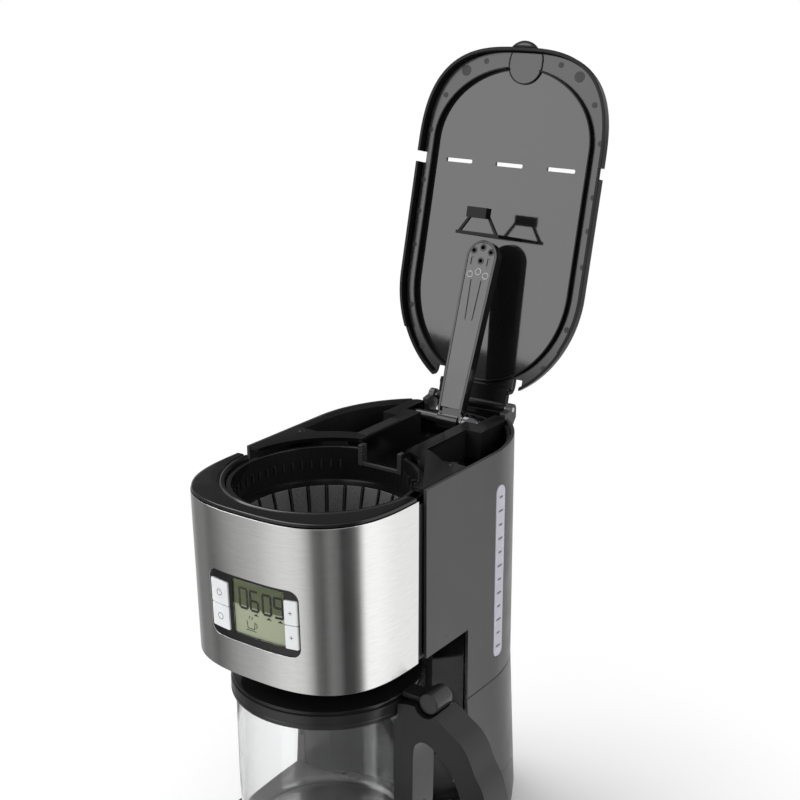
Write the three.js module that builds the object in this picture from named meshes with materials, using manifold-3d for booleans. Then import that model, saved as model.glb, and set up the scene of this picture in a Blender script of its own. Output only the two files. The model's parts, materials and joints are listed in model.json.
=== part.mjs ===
// Drip coffee maker with a glass jug, a lift-out filter basket and a swing-over spray arm.
// Millimetres, +Z up. X = 0 is the middle of the machine, Y = 0 the jug axis (the front is -Y),
// Z = 0 the flat underside of the bottom cover. The lid is stored open.
import * as THREE from "three";
import { mergeVertices } from "three/addons/utils/BufferGeometryUtils.js";
import Module from "manifold-3d";

const wasm = await Module();
wasm.setup();

// Driving dimensions
const RING_TOP = 305; // top of the front ring above the bottom cover
const HALF_WIDTH = 77.6;
const FRONT_CENTRE = -3; // Y where the front curve starts
const REAR_CENTRE = 95; // Y where the rear curve starts
const FRONT_DEPTH = 82.6;
const REAR_DEPTH = 91;
const FRONT_POWER = 2.86;
const REAR_POWER = 1.95;
const CURVE_STEPS = 16; // steps in the front curve and in the rear curve
const ROUND = 40; // sides of the large round parts
const WALL = 2.4;
const GAP = 0.3;

const HEAD_BOTTOM = RING_TOP - 121;
const STEEL_TOP = RING_TOP - 3;
const STEEL_FRONT_TOP = 83.2;
const STEEL_FRONT_BOTTOM = 78.5;
const STEEL_THICKNESS = 1;
const HOUSING_FRONT = 9; // front edge of the rear housing beside the head
const COLUMN_FRONT = 62;
const COLUMN_HALF = 74.9; // half-width of the black panel behind the jug
const COLUMN_THICK = 2.3;
const SEAM = RING_TOP - 177;
const PLATFORM_TOP = RING_TOP - 282; // where the jug stands
const TRAY_SIDE_TOP = RING_TOP - 260; // the tray's side walls behind the column front
const TRAY_REAR = 135;

const OVAL = 0.95; // the basket and its well are a little narrower than they are deep
const HOLE_R = 70;
const WELL_R = 70.6;
const NICHE_R = 78;

const HINGE_Y = 187;
const HINGE_Z = RING_TOP + 2.6;
const LID_OPEN = 103.85; // degrees between closed and the stop
const ARM_X = 1.5;
const ARM_PIVOT_Y = 157;
const ARM_PIVOT_Z = RING_TOP - 5;
const ARM_OPEN = 110.87; // degrees from lying forward to the raised stop
const ARM_LENGTH = 140;
const ARM_UNDERSIDE = 7.4; // underside below the pivot axis
const ARM_THICKNESS = 8;

const ARM_ROOT = 10.3; // half-width at the pivot
const ARM_TIP = 13.3; // half-width and end radius at the tip
const SHAFT_R = 4;
const HINGE_PIN_R = 2;
const HINGE_LUG = [33, 38]; // from the middle to each lug's two sides

const LID_HALF_WIDTH = 81.8;
const LID_FRONT = 84;
const LID_REAR = 89;
const LID_SLOTS = [-45.6, 0, 45.6]; // X of the three steam slots
const LID_SLOT_SIZE = [24, 3];
const TAB_R = 14.5;
const TAB_X = 2.5;
const TAB_FRONT = -92;
const TAB_REAR = -60;

const BASKET_TOP = RING_TOP - 3.3;
const BASKET_FLOOR = RING_TOP - 108.5;
const BASKET_RIBS = 24;
const OUTLET_R = 14;

const GAUGE_TOP = RING_TOP - 24;
const GAUGE_BOTTOM = RING_TOP - 160;
const GAUGE_SIDES = [98, 110]; // Y of its two long sides

const JUG_BOTTOM = PLATFORM_TOP + 1.3;
const JUG_R = 65.6;
const JUG_WALL = 2.2;
const COLLAR_BOTTOM = RING_TOP - 158.5;
const COLLAR_TOP = RING_TOP - 147.7;
const BOSS_TOP = RING_TOP - 125.4; // the jug lid's boss, just below the drip valve
const VALVE_BOTTOM = RING_TOP - 124;
const HANDLE_WIDTH = 26;
const KNOB_X = 92;
const KNOB_Z = RING_TOP - 143.5;
const HANDLE_SCREW_Z = 76;

const HOT_PLATE_R = 60.9;
const SEAL_R = 63.5; // outside of the hot plate's seal ring
const HEATER_Z = PLATFORM_TOP - 7.8;
const GLAND_Z = 26;
const RISER = [4, 165]; // X and Y of the riser tube inside the tank
const TANK_OUTLET = [-30, 130];
const FEET = [[-58, -52], [58, -52], [-58, 146], [58, 146]];
const SCREWS = [[-40, -66], [40, -66], [-44, 160], [44, 160]];

const PANEL = { x0: -34.5, x1: 39.5, z0: RING_TOP - 95.5, z1: RING_TOP - 47.5 };
const WINDOW = { x0: -13.4, x1: 28.6, z0: RING_TOP - 89.3, z1: RING_TOP - 49.8 };
const BUTTONS = {
  power_button: [-33, -16.8, RING_TOP - 71.9, RING_TOP - 54.5],
  program_button: [-33, -16.8, RING_TOP - 89.3, RING_TOP - 72.3],
  hour_button: [29.3, 38.4, RING_TOP - 71.9, RING_TOP - 54.5],
  minute_button: [29.3, 38.4, RING_TOP - 89.3, RING_TOP - 72.3],
};

// Materials: [colour, roughness, metalness]
const GLOSS_BLACK = [0x0b0b0c, 0.18, 0];
const SATIN_BLACK = [0x141415, 0.4, 0];
const WARM_GREY = [0x4a4748, 0.38, 0];
const DARK_GREY = [0x2b2b2d, 0.3, 0];
const LID_GREY = [0x5f5f61, 0.22, 0];
const STEEL = [0xb4b3b1, 0.32, 1];
const SILVER = [0xc9cacc, 0.35, 0.4];
const ALUMINIUM = [0x9c9ea1, 0.4, 1];
const RUBBER = [0x101010, 0.8, 0];
const BOARD_GREEN = [0x1f5a35, 0.6, 0];
const GLASS = [0xdfe6e8, 0.04, 0];
const GAUGE = [0xdad6e6, 0.35, 0];
const HOSE = [0x9a9a96, 0.5, 0];
const DISPLAY = [0xb3b893, 0.5, 0];
const MID_GREY = [0x6b6b6d, 0.35, 0];
const DOME = [0x55565a, 0.15, 0.8];

const group = new THREE.Group();
group.name = "drip_coffee_maker";

// Solid helpers

function solid(geometry) {
  const bare = geometry.index ? geometry.toNonIndexed() : geometry.clone();
  bare.deleteAttribute("normal");
  bare.deleteAttribute("uv");
  const merged = mergeVertices(bare, 1e-4);
  const index = merged.index.array;
  const kept = [];
  for (let i = 0; i < index.length; i += 3) {
    const [a, b, c] = [index[i], index[i + 1], index[i + 2]];
    if (a !== b && b !== c && a !== c) kept.push(a, b, c);
  }
  return new wasm.Manifold(
    new wasm.Mesh({
      numProp: 3,
      vertProperties: new Float32Array(merged.attributes.position.array),
      triVerts: new Uint32Array(kept),
    }),
  );
}

function add(name, made, [color, roughness, metalness]) {
  const out = made.getMesh();
  const geometry = new THREE.BufferGeometry();
  geometry.setAttribute(
    "position",
    new THREE.BufferAttribute(new Float32Array(out.vertProperties), 3),
  );
  geometry.setIndex(new THREE.BufferAttribute(new Uint32Array(out.triVerts), 1));
  const flat = geometry.toNonIndexed();
  flat.computeVertexNormals();
  const material = new THREE.MeshStandardMaterial({ color, roughness, metalness });
  const mesh = new THREE.Mesh(flat, material);
  mesh.name = name;
  group.add(mesh);
}

function box(x0, x1, y0, y1, z0, z1) {
  const g = new THREE.BoxGeometry(x1 - x0, y1 - y0, z1 - z0);
  g.translate((x0 + x1) / 2, (y0 + y1) / 2, (z0 + z1) / 2);
  return solid(g);
}

function union(...parts) {
  return parts.reduce((whole, part) => whole.add(part));
}

// A closed profile of [radius, z], listed either way round, turned about the Z axis.
// It is stretched by sx across.
function lathe(profile, steps, sx = 1, x = 0, y = 0) {
  const turn = (points) => {
    const g = new THREE.LatheGeometry(points, steps);
    g.rotateX(Math.PI / 2);
    g.scale(sx, 1, 1);
    g.translate(x, y, 0);
    return solid(g);
  };
  const points = profile.map(([r, z]) => new THREE.Vector2(r, z));
  if (profile[0][0] > 0) points.push(points[0].clone());
  const made = turn(points);
  return made.volume() > 0 ? made : turn(points.reverse());
}

function disc(r, z0, z1, steps = 32, x = 0, y = 0, sx = 1) {
  return lathe([[0, z0], [r, z0], [r, z1], [0, z1]], steps, sx, x, y);
}

function ring(r0, r1, z0, z1, steps = 48, sx = 1) {
  return lathe([[r0, z0], [r1, z0], [r1, z1], [r0, z1]], steps, sx);
}

// A rod between two X values, turned about the line (y, z).
function rodX(r, x0, x1, y, z, steps = 20) {
  const g = new THREE.CylinderGeometry(r, r, x1 - x0, steps);
  g.rotateZ(Math.PI / 2);
  g.translate((x0 + x1) / 2, y, z);
  return solid(g);
}

function rodY(r, y0, y1, x, z, steps = 20) {
  const g = new THREE.CylinderGeometry(r, r, y1 - y0, steps);
  g.translate(x, (y0 + y1) / 2, z);
  return solid(g);
}

// A flat shape given as points, pushed along Z from z0 to z1.
function prismZ(points, z0, z1) {
  const shape = new THREE.Shape(points.map(([x, y]) => new THREE.Vector2(x, y)));
  const g = new THREE.ExtrudeGeometry(shape, { depth: z1 - z0, bevelEnabled: false });
  g.translate(0, 0, z0);
  return solid(g);
}

// The same with the shape in the X-Z plane, pushed along Y.
function prismY(points, y0, y1) {
  const shape = new THREE.Shape(points.map(([x, z]) => new THREE.Vector2(x, z)));
  const g = new THREE.ExtrudeGeometry(shape, { depth: y1 - y0, bevelEnabled: false });
  g.rotateX(Math.PI / 2);
  g.translate(0, y1, 0);
  return solid(g);
}

// The same with the shape in the Y-Z plane, pushed along X.
function prismX(points, x0, x1) {
  const shape = new THREE.Shape(points.map(([y, z]) => new THREE.Vector2(y, z)));
  const g = new THREE.ExtrudeGeometry(shape, { depth: x1 - x0, bevelEnabled: false });
  g.rotateY(Math.PI / 2);
  g.rotateX(Math.PI / 2);
  g.translate(x0, 0, 0);
  return solid(g);
}

function roundedBox(u0, u1, v0, v1, r, steps = 5) {
  const points = [];
  const corners = [
    [u1 - r, v0 + r, -90],
    [u1 - r, v1 - r, 0],
    [u0 + r, v1 - r, 90],
    [u0 + r, v0 + r, 180],
  ];
  for (const [u, v, start] of corners) {
    for (let i = 0; i <= steps; i++) {
      const t = ((start + (90 * i) / steps) * Math.PI) / 180;
      points.push([u + r * Math.cos(t), v + r * Math.sin(t)]);
    }
  }
  return points;
}

function pipe(points, r, steps = 60, sides = 10) {
  const curve = new THREE.CatmullRomCurve3(points.map((p) => new THREE.Vector3(...p)));
  const shape = new THREE.Shape();
  for (let i = 0; i < sides; i++) {
    const t = (2 * Math.PI * i) / sides;
    const method = i ? "lineTo" : "moveTo";
    shape[method](r * Math.cos(t), r * Math.sin(t));
  }
  shape.closePath();
  return solid(new THREE.ExtrudeGeometry(shape, { steps, extrudePath: curve }));
}

// The machine's plan: a blunt curve in front, straight sides and a round rear.
function outline(halfWidth, front, rear) {
  const points = [];
  const power = (v, n) => Math.sign(v) * Math.abs(v) ** (2 / n);
  for (let i = 0; i <= CURVE_STEPS; i++) {
    const t = Math.PI + (Math.PI * i) / CURVE_STEPS;
    const x = halfWidth * power(Math.cos(t), FRONT_POWER);
    points.push([x, FRONT_CENTRE + front * power(Math.sin(t), FRONT_POWER)]);
  }
  for (let i = 0; i <= CURVE_STEPS; i++) {
    const t = (Math.PI * i) / CURVE_STEPS;
    const x = halfWidth * power(Math.cos(t), REAR_POWER);
    points.push([x, REAR_CENTRE + rear * power(Math.sin(t), REAR_POWER)]);
  }
  return points;
}

// A solid through outlines stacked in Z; every section has the same number of points.
function loft(sections) {
  const count = sections[0].points.length;
  const position = [];
  for (const { z, points } of sections) {
    for (const [x, y] of points) position.push(x, y, z);
  }
  const index = [];
  for (let s = 0; s + 1 < sections.length; s++) {
    for (let i = 0; i < count; i++) {
      const a = s * count + i;
      const b = s * count + ((i + 1) % count);
      index.push(a, b, b + count, a, b + count, a + count);
    }
  }
  const flat = (points) => points.map(([x, y]) => new THREE.Vector2(x, y));
  const last = (sections.length - 1) * count;
  for (const [a, b, c] of THREE.ShapeUtils.triangulateShape(flat(sections[0].points), [])) {
    index.push(a, c, b);
  }
  for (const [a, b, c] of THREE.ShapeUtils.triangulateShape(flat(sections.at(-1).points), [])) {
    index.push(last + a, last + b, last + c);
  }
  const g = new THREE.BufferGeometry();
  g.setAttribute("position", new THREE.Float32BufferAttribute(position, 3));
  g.setIndex(index);
  return solid(g);
}

function slab(halfWidth, front, rear, z0, z1) {
  const points = outline(halfWidth, front, rear);
  return loft([{ z: z0, points }, { z: z1, points }]);
}

// Space behind or in front of a plane across the machine.
function before(y) {
  return box(-200, 200, -200, y, -50, 500);
}

function behind(y) {
  return box(-200, 200, y, 400, -50, 500);
}

// Head

// The leaning front of the head, inset by d from the steel's outer face.
function headLoft(d, z0 = HEAD_BOTTOM, z1 = STEEL_TOP) {
  const lean = (z) => {
    const k = (z - HEAD_BOTTOM) / (STEEL_TOP - HEAD_BOTTOM);
    return STEEL_FRONT_BOTTOM + (STEEL_FRONT_TOP - STEEL_FRONT_BOTTOM) * k;
  };
  return loft([
    { z: z0, points: outline(77.8 - d, lean(z0) - d, REAR_DEPTH - d) },
    { z: z1, points: outline(77.8 - d, lean(z1) - d, REAR_DEPTH - d) },
  ]);
}

function panelPrism(grow, y0 = -120, y1 = -40) {
  const p = roundedBox(PANEL.x0 - grow, PANEL.x1 + grow, PANEL.z0 - grow, PANEL.z1 + grow, 7);
  return prismY(p, y0, y1);
}

function rectPrism([x0, x1, z0, z1], grow) {
  return prismY(roundedBox(x0 - grow, x1 + grow, z0 - grow, z1 + grow, 0.8, 2), -120, -40);
}

function steelFrontCover() {
  const shell = headLoft(0).subtract(headLoft(STEEL_THICKNESS, HEAD_BOTTOM - 1, STEEL_TOP + 1));
  const made = shell.intersect(before(0)).subtract(panelPrism(0));
  add("steel_front_cover", made, STEEL);
}

function curvedSlab(d0, d1, prism) {
  const skin = headLoft(d0, HEAD_BOTTOM, STEEL_TOP).subtract(
    headLoft(d1, HEAD_BOTTOM - 1, STEEL_TOP + 1),
  );
  return skin.intersect(before(-45)).intersect(prism);
}

function controls() {
  const window = [WINDOW.x0, WINDOW.x1, WINDOW.z0, WINDOW.z1];
  let bezel = curvedSlab(0.7, 4, panelPrism(-GAP));
  for (const sides of Object.values(BUTTONS)) bezel = bezel.subtract(rectPrism(sides, GAP));
  bezel = bezel.subtract(rectPrism(window, GAP));
  add("control_bezel", bezel, GLOSS_BLACK);
  for (const [name, sides] of Object.entries(BUTTONS)) {
    add(name, curvedSlab(-0.5, 4.5, rectPrism(sides, 0)), SILVER);
  }
  add("display_lens", curvedSlab(1, 2, rectPrism(window, 0)), GLASS);
  add("lcd_display", curvedSlab(2.4, 3.4, rectPrism(window, 0)), DISPLAY);
  const board = box(-14, 26.4, -76.7, -75.3, RING_TOP - 93, RING_TOP - 49);
  add("circuit_board", board, BOARD_GREEN);
}

// Black inner head: side walls and floor.
function brewHeadShell() {
  const top = RING_TOP - 7.6;
  const wall = headLoft(1.4, HEAD_BOTTOM, STEEL_TOP).subtract(
    headLoft(3.4, HEAD_BOTTOM + 2.5, STEEL_TOP + 1),
  );
  const trimmed = wall.intersect(box(-100, 100, -100, 8.6, HEAD_BOTTOM, top));
  const sideCut = union(
    box(74.8, 90, 0.3, 20, HEAD_BOTTOM - 1, 400),
    box(-90, -74.8, 0.3, 20, HEAD_BOTTOM - 1, 400),
  );
  const floor = box(-74.6, 74.6, 5, 61.4, HEAD_BOTTOM, HEAD_BOTTOM + 2.5);
  const outlet = disc(OUTLET_R, HEAD_BOTTOM - 1, HEAD_BOTTOM + 5, 32);
  const made = union(trimmed.subtract(sideCut), floor).subtract(panelPrism(1)).subtract(outlet);
  add("brew_head_shell", made, SATIN_BLACK);
}

// The well that the basket drops into, with a ledge under its flange.
function basketWell() {
  const top = RING_TOP - 7.6;
  const well = lathe(
    [
      [WELL_R, HEAD_BOTTOM + 2.5 + GAP],
      [72.4, HEAD_BOTTOM + 2.5 + GAP],
      [72.4, top],
      [68.2, top],
      [68.2, RING_TOP - 9.6],
      [WELL_R, RING_TOP - 12],
    ],
    ROUND,
    OVAL,
  );
  const frontRoom = headLoft(3.4 + GAP, HEAD_BOTTOM, STEEL_TOP);
  const armGap = box(ARM_X - 20, ARM_X + 20, 50, 80, RING_TOP - 19.4, 400);
  const made = well.intersect(frontRoom).subtract(armGap);
  add("basket_well", made, SATIN_BLACK);
}

function topRing() {
  const plate = slab(77.2, FRONT_DEPTH, REAR_DEPTH, STEEL_TOP + GAP, RING_TOP);
  const lip = lathe(
    [
      [68, STEEL_TOP - 4.2],
      [73, STEEL_TOP - 4.2],
      [73, STEEL_TOP + 1],
      [68, STEEL_TOP + 1],
    ],
    ROUND,
    OVAL,
  );
  const hole = disc(HOLE_R, 280, 320, ROUND, 0, 0, OVAL);
  const made = union(plate, lip).intersect(before(-2)).subtract(hole);
  add("top_ring", made, GLOSS_BLACK);
}

// Rear housing

function housingLoft(d, z0, z1) {
  const grow = (z) => Math.max(0, (RING_TOP - z) / 177);
  const at = (z) => outline(HALF_WIDTH + grow(z) - d, 82 - d, REAR_DEPTH + grow(z) - d);
  return loft([{ z: z0, points: at(z0) }, { z: z1, points: at(z1) }]);
}

function tankHousing() {
  const top = RING_TOP + 2;
  const shell = housingLoft(0, SEAM + GAP, top).subtract(housingLoft(WALL, SEAM - 1, top + 1));
  const front = union(
    box(-200, 200, -200, HOUSING_FRONT, HEAD_BOTTOM, 400),
    box(-200, 200, -200, COLUMN_FRONT, 0, HEAD_BOTTOM),
  );
  const [near, far] = GAUGE_SIDES;
  const edge = roundedBox(near - GAP, far + GAP, GAUGE_BOTTOM - GAP, GAUGE_TOP + GAP, 6.2);
  const slot = prismX(edge, 60, 90);
  const hingeGap = box(-31.5, 31.5, 168, 200, RING_TOP - 7, 400);
  const [inner, outer] = HINGE_LUG;
  const lugs = union(
    box(inner, outer, 168, 191, RING_TOP - 14, HINGE_Z + 5),
    box(-outer, -inner, 168, 191, RING_TOP - 14, HINGE_Z + 5),
  )
    .subtract(housingLoft(WALL, SEAM, RING_TOP + 20))
    .subtract(rodX(HINGE_PIN_R + 0.4, -40, 40, HINGE_Y, HINGE_Z, 16));
  const lidSweep = union(
    box(outer, 44, 160, 200, RING_TOP - 1.5, 400),
    box(-44, -outer, 160, 200, RING_TOP - 1.5, 400),
  );
  const cover = shell.subtract(front).subtract(hingeGap).subtract(lidSweep);
  const made = union(cover, lugs).subtract(slot);
  add("tank_housing", made, WARM_GREY);
}

function levelWindow() {
  const strip = prismX(roundedBox(...GAUGE_SIDES, GAUGE_BOTTOM, GAUGE_TOP, 5.9), 75.6, 78.2);
  add("level_window", strip, GAUGE);
}

// Deck behind the basket: a plate round the hole, the arm's channel and the pivot block.
function topDeck() {
  const bottom = RING_TOP - 19;
  const top = RING_TOP + 2;
  const plan = slab(74.4, 80, REAR_DEPTH - 3, bottom, top);
  const plate = union(
    box(-80, 80, HOUSING_FRONT, COLUMN_FRONT + 0.5, RING_TOP - 0.5, top),
    disc(83, RING_TOP - 0.5, top, ROUND).intersect(behind(20)),
  );
  const channel = box(ARM_X - 31, ARM_X + 31, 66, 130, bottom, top);
  const block = box(ARM_X - 44, ARM_X + 44, 128, 179, bottom, top);
  const recess = box(ARM_X - 20, ARM_X + 20, 40, 150, bottom + 3, top + 1);
  const pit = box(ARM_X - 34, ARM_X + 30, 144, 174, bottom + 2.4, top + 1);
  const rearCut = box(-60, 60, 169.5, 200, RING_TOP - 7, top + 1);
  const hole = disc(HOLE_R, bottom - 1, RING_TOP + 5, ROUND, 0, 0, OVAL);
  const wellRoom = disc(72.8, bottom - 1, RING_TOP - 0.6, ROUND, 0, 0, OVAL);
  const made = union(plate, channel, block)
    .intersect(plan)
    .subtract(hole)
    .subtract(wellRoom)
    .subtract(recess)
    .subtract(pit)
    .subtract(rearCut)
    .subtract(rodX(SHAFT_R + GAP, ARM_X - 41, ARM_X, ARM_PIVOT_Y, ARM_PIVOT_Z));
  add("top_deck", made, GLOSS_BLACK);
}

function waterTank() {
  const bottom = GAUGE_BOTTOM - 2;
  const top = RING_TOP - 0.8;
  const outer = slab(74.6, 80, REAR_DEPTH - 2.9, bottom, top);
  const inner = slab(72.6, 80, REAR_DEPTH - 4.9, bottom + 2, top + 1);
  const low = HEAD_BOTTOM + 3;
  const room = (d) =>
    union(
      disc(73 + d, bottom - 1, top + 2, ROUND, 0, 0, OVAL),
      disc(NICHE_R + 3.6 + d, bottom - 1, low + d, ROUND, 0, 0.5),
      box(-100, 100, -200, COLUMN_FRONT + 2.9 + d, bottom - 1, low + d),
      box(-100, 100, -200, COLUMN_FRONT - 6 + d, bottom - 1, top + 2),
    );
  const shell = outer.subtract(room(0)).subtract(inner.subtract(room(2)));
  const under = union(
    box(ARM_X - 31.4, ARM_X + 31.4, 40, 131, RING_TOP - 19.3, 400),
    box(ARM_X - 44.4, ARM_X + 44.4, 127.6, 200, RING_TOP - 19.3, 400),
  );
  const gauge = box(75.3, 80, 97.5, 110.5, GAUGE_BOTTOM - 3, GAUGE_TOP + 1);
  const outlet = disc(8, bottom - 1, bottom + 3, 20, ...TANK_OUTLET);
  const riserHole = disc(4.4, bottom - 1, bottom + 3, 20, ...RISER);
  const made = shell.subtract(under).subtract(outlet).subtract(riserHole).subtract(gauge);
  add("water_tank", made, SATIN_BLACK);
}

function plumbing() {
  const [x, y] = TANK_OUTLET;
  const strainer = [[2, SEAM + 14], [7.4, SEAM + 14], [7.4, SEAM + 14.8], [2, SEAM + 14.8]];
  add("tank_strainer", lathe(strainer, 20, 1, x, y), SILVER);
  const inlet = [[x, y, SEAM + 13], [x, 128, 110], [-34, 118, 92], [-34, 110, 78]];
  add("inlet_hose", pipe(inlet, 4.6, 14), HOSE);
  const valve = [[-34, 109.5, 76.5], [-34, 107, 72], [-34, 104.6, 67.4]];
  add("check_valve", pipe(valve, 6, 3, 12), SILVER);
  const riser = [
    [34, 96, 54.5],
    [34, 108, 70],
    [28, 134, 84],
    [12, 156, 100],
    [...RISER, 124],
    [...RISER, 160],
    [...RISER, 220],
    [...RISER, RING_TOP - 20],
  ];
  add("riser_tube", pipe(riser, 3.6, 24, 8), HOSE);
}

// Column and base

function baseLoft(d, z0, z1) {
  const flare = (z) => {
    const table = [[0, 3.4], [4, 5.4], [15, 6.2], [45, 4.9], [85, 3.0], [128, 1.0]];
    for (let i = 0; i + 1 < table.length; i++) {
      const [za, fa] = table[i];
      const [zb, fb] = table[i + 1];
      if (z <= zb) return fa + ((fb - fa) * (z - za)) / (zb - za);
    }
    return 1;
  };
  const levels = [z0, 4, 15, 45, 85, z1].filter((z) => z >= z0 && z <= z1);
  const sections = [...new Set(levels)].map((z) => {
    const f = flare(Math.max(z, 0)) - d;
    return { z, points: outline(HALF_WIDTH + f, FRONT_DEPTH + f, REAR_DEPTH + f) };
  });
  return loft(sections);
}

// The side profile of the tray: low in front, higher beside the column, its top rear corner rounded.
function trayBlock(grow) {
  const r = 8;
  const points = [[-150, -10], [TRAY_REAR + grow, -10]];
  for (let i = 0; i <= 6; i++) {
    const t = (Math.PI * i) / 12;
    points.push([
      TRAY_REAR + grow - r + r * Math.cos(t),
      TRAY_SIDE_TOP + grow - r + r * Math.sin(t),
    ]);
  }
  points.push([COLUMN_FRONT, TRAY_SIDE_TOP + grow]);
  points.push([COLUMN_FRONT, PLATFORM_TOP + grow]);
  points.push([-150, PLATFORM_TOP + grow]);
  return prismX(points, -150, 150);
}

function baseHousing() {
  const hollow = baseLoft(2.6, -1, SEAM + 1).intersect(behind(COLUMN_FRONT + WALL));
  const shell = baseLoft(0, 0, SEAM).subtract(hollow);
  const made = shell
    .intersect(behind(COLUMN_FRONT))
    .subtract(trayBlock(GAP))
    .subtract(box(-76, 76, 50, 70, 0, 400))
    .subtract(rodY(8.3, 150, 220, 0, GLAND_Z, 24));
  add("base_housing", made, WARM_GREY);
}

function baseTray() {
  const outer = baseLoft(0, 0, TRAY_SIDE_TOP);
  const under = baseLoft(2.6, -1, PLATFORM_TOP - 2.6);
  const sides = baseLoft(2.6, -1, TRAY_SIDE_TOP - 2.6).intersect(behind(COLUMN_FRONT + WALL));
  const column = box(-73.5, 73.5, COLUMN_FRONT + 1, 200, -5, TRAY_SIDE_TOP + 1);
  const room = COLUMN_HALF + GAP;
  const back = COLUMN_FRONT + COLUMN_THICK + GAP;
  const panelRoom = box(-room, room, COLUMN_FRONT - 1, back, PLATFORM_TOP, TRAY_SIDE_TOP + 1);
  const made = outer
    .subtract(under)
    .subtract(sides)
    .subtract(column)
    .subtract(panelRoom)
    .intersect(trayBlock(0))
    .subtract(disc(SEAL_R + 0.4, 5, 60, ROUND));
  add("base_tray", made, WARM_GREY);
}

function columnFrontPanel() {
  const z0 = PLATFORM_TOP + 0.5;
  const z1 = HEAD_BOTTOM - 0.4;
  const points = [];
  const half = Math.asin(48 / NICHE_R);
  points.push([-COLUMN_HALF, COLUMN_FRONT]);
  for (let i = 0; i <= 20; i++) {
    const t = -half + (2 * half * i) / 20;
    points.push([NICHE_R * Math.sin(t), NICHE_R * Math.cos(t) + 0.5]);
  }
  points.push([COLUMN_HALF, COLUMN_FRONT]);
  points.push([COLUMN_HALF, COLUMN_FRONT + COLUMN_THICK]);
  for (let i = 20; i >= 0; i--) {
    const t = -half + (2 * half * i) / 20;
    points.push([(NICHE_R + 2.4) * Math.sin(t), (NICHE_R + 2.4) * Math.cos(t) + 0.5]);
  }
  points.push([-COLUMN_HALF, COLUMN_FRONT + COLUMN_THICK]);
  add("column_front_panel", prismZ(points, z0, z1), GLOSS_BLACK);
}

function bottomCover() {
  let plate = slab(77.6, FRONT_DEPTH, REAR_DEPTH, 0, 2.4);
  for (const [x, y] of FEET) {
    plate = plate.subtract(disc(2.8, -1, 4, 16, x, y)).subtract(disc(9, -1, 0.6, 24, x, y));
  }
  for (const [x, y] of SCREWS) plate = plate.subtract(disc(3.2, -1, 4, 16, x, y));
  add("bottom_cover", plate, SATIN_BLACK);
}

function feetAndScrews() {
  FEET.forEach(([x, y], i) => {
    const profile = [
      [0, -3],
      [7, -3],
      [8, -2.2],
      [8, -GAP],
      [2.5, -GAP],
      [2.5, 4],
      [0, 4],
    ];
    add(`foot_${i + 1}`, lathe(profile, 24, 1, x, y), RUBBER);
  });
  SCREWS.forEach(([x, y], i) => {
    const profile = [
      [0, 0.3],
      [2.9, 0.3],
      [2.9, 1.6],
      [1.4, 2.6],
      [1.4, 10],
      [0, 10],
    ];
    add(`bottom_screw_${i + 1}`, lathe(profile, 16, 1, x, y), ALUMINIUM);
  });
}

function heater() {
  add("hot_plate", disc(HOT_PLATE_R, PLATFORM_TOP - 1.6, PLATFORM_TOP + 1, ROUND), ALUMINIUM);
  const seal = ring(HOT_PLATE_R + 0.4, SEAL_R, PLATFORM_TOP - 2, PLATFORM_TOP + 0.7, ROUND);
  add("hot_plate_ring", seal, RUBBER);
  const points = [[-34, 102.5, 63], [-34.5, 97, 40], [-36, 84, HEATER_Z + 2], [-40, 62, HEATER_Z]];
  for (let i = 0; i <= 12; i++) {
    const t = ((140 + (260 * i) / 12) * Math.PI) / 180;
    points.push([42 * Math.cos(t), 42 * Math.sin(t), HEATER_Z]);
  }
  points.push([40, 62, HEATER_Z], [36, 84, HEATER_Z + 2], [34, 94, 50]);
  add("heating_element", pipe(points, 4.2, 44, 8), ALUMINIUM);
  add("thermostat", disc(9, 4, 13, 24, 0, 0), SILVER);
  add("thermal_fuse", rodX(3, 16, 34, 14, 9, 12), SILVER);
  const gland = rodY(8, 183, 196, 0, GLAND_Z, 24).subtract(rodY(3.6, 180, 200, 0, GLAND_Z, 16));
  add("cord_gland", gland, RUBBER);
}

// Lid, drawn closed and then turned open about its hinge.

function openAbout(y, z, degrees, made) {
  const m = new THREE.Matrix4().makeTranslation(0, y, z);
  m.multiply(new THREE.Matrix4().makeRotationX((-degrees * Math.PI) / 180));
  m.multiply(new THREE.Matrix4().makeTranslation(0, -y, -z));
  return made.transform(m.elements);
}

function addLid(name, made, look) {
  add(name, openAbout(HINGE_Y, HINGE_Z, LID_OPEN, made), look);
}

function lidOutline(d, z) {
  return { z, points: outline(LID_HALF_WIDTH - d, LID_FRONT - d, LID_REAR - d) };
}

// The two straight sides and two half rounds of the finger tab.
function tabOutline(grow) {
  const r = TAB_R + grow;
  const points = [];
  const halfRound = (start, y) => {
    for (let i = 0; i <= 12; i++) {
      const t = start + (Math.PI * i) / 12;
      points.push([TAB_X + r * Math.cos(t), y + r * Math.sin(t)]);
    }
  };
  halfRound(Math.PI, TAB_FRONT + TAB_R);
  halfRound(0, TAB_REAR - TAB_R);
  return points;
}

// The three steam slots, cut right through the lid.
function lidSlots() {
  const [long, wide] = LID_SLOT_SIZE;
  const slot = (x) => box(x - long / 2, x + long / 2, 0.5, 0.5 + wide, RING_TOP - 5, 400);
  return union(...LID_SLOTS.map(slot));
}

// Stadium rib plan on the underside of the lid.
function ribOutline(d) {
  const points = [];
  const half = 70 - d;
  for (let i = 0; i <= 18; i++) {
    const t = Math.PI + (Math.PI * i) / 18;
    points.push([half * Math.cos(t), -14 + (59 - d) * Math.sin(t)]);
  }
  for (let i = 0; i <= 18; i++) {
    const t = (Math.PI * i) / 18;
    points.push([half * Math.cos(t), 95 + (76 - d) * Math.sin(t)]);
  }
  return points;
}

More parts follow.
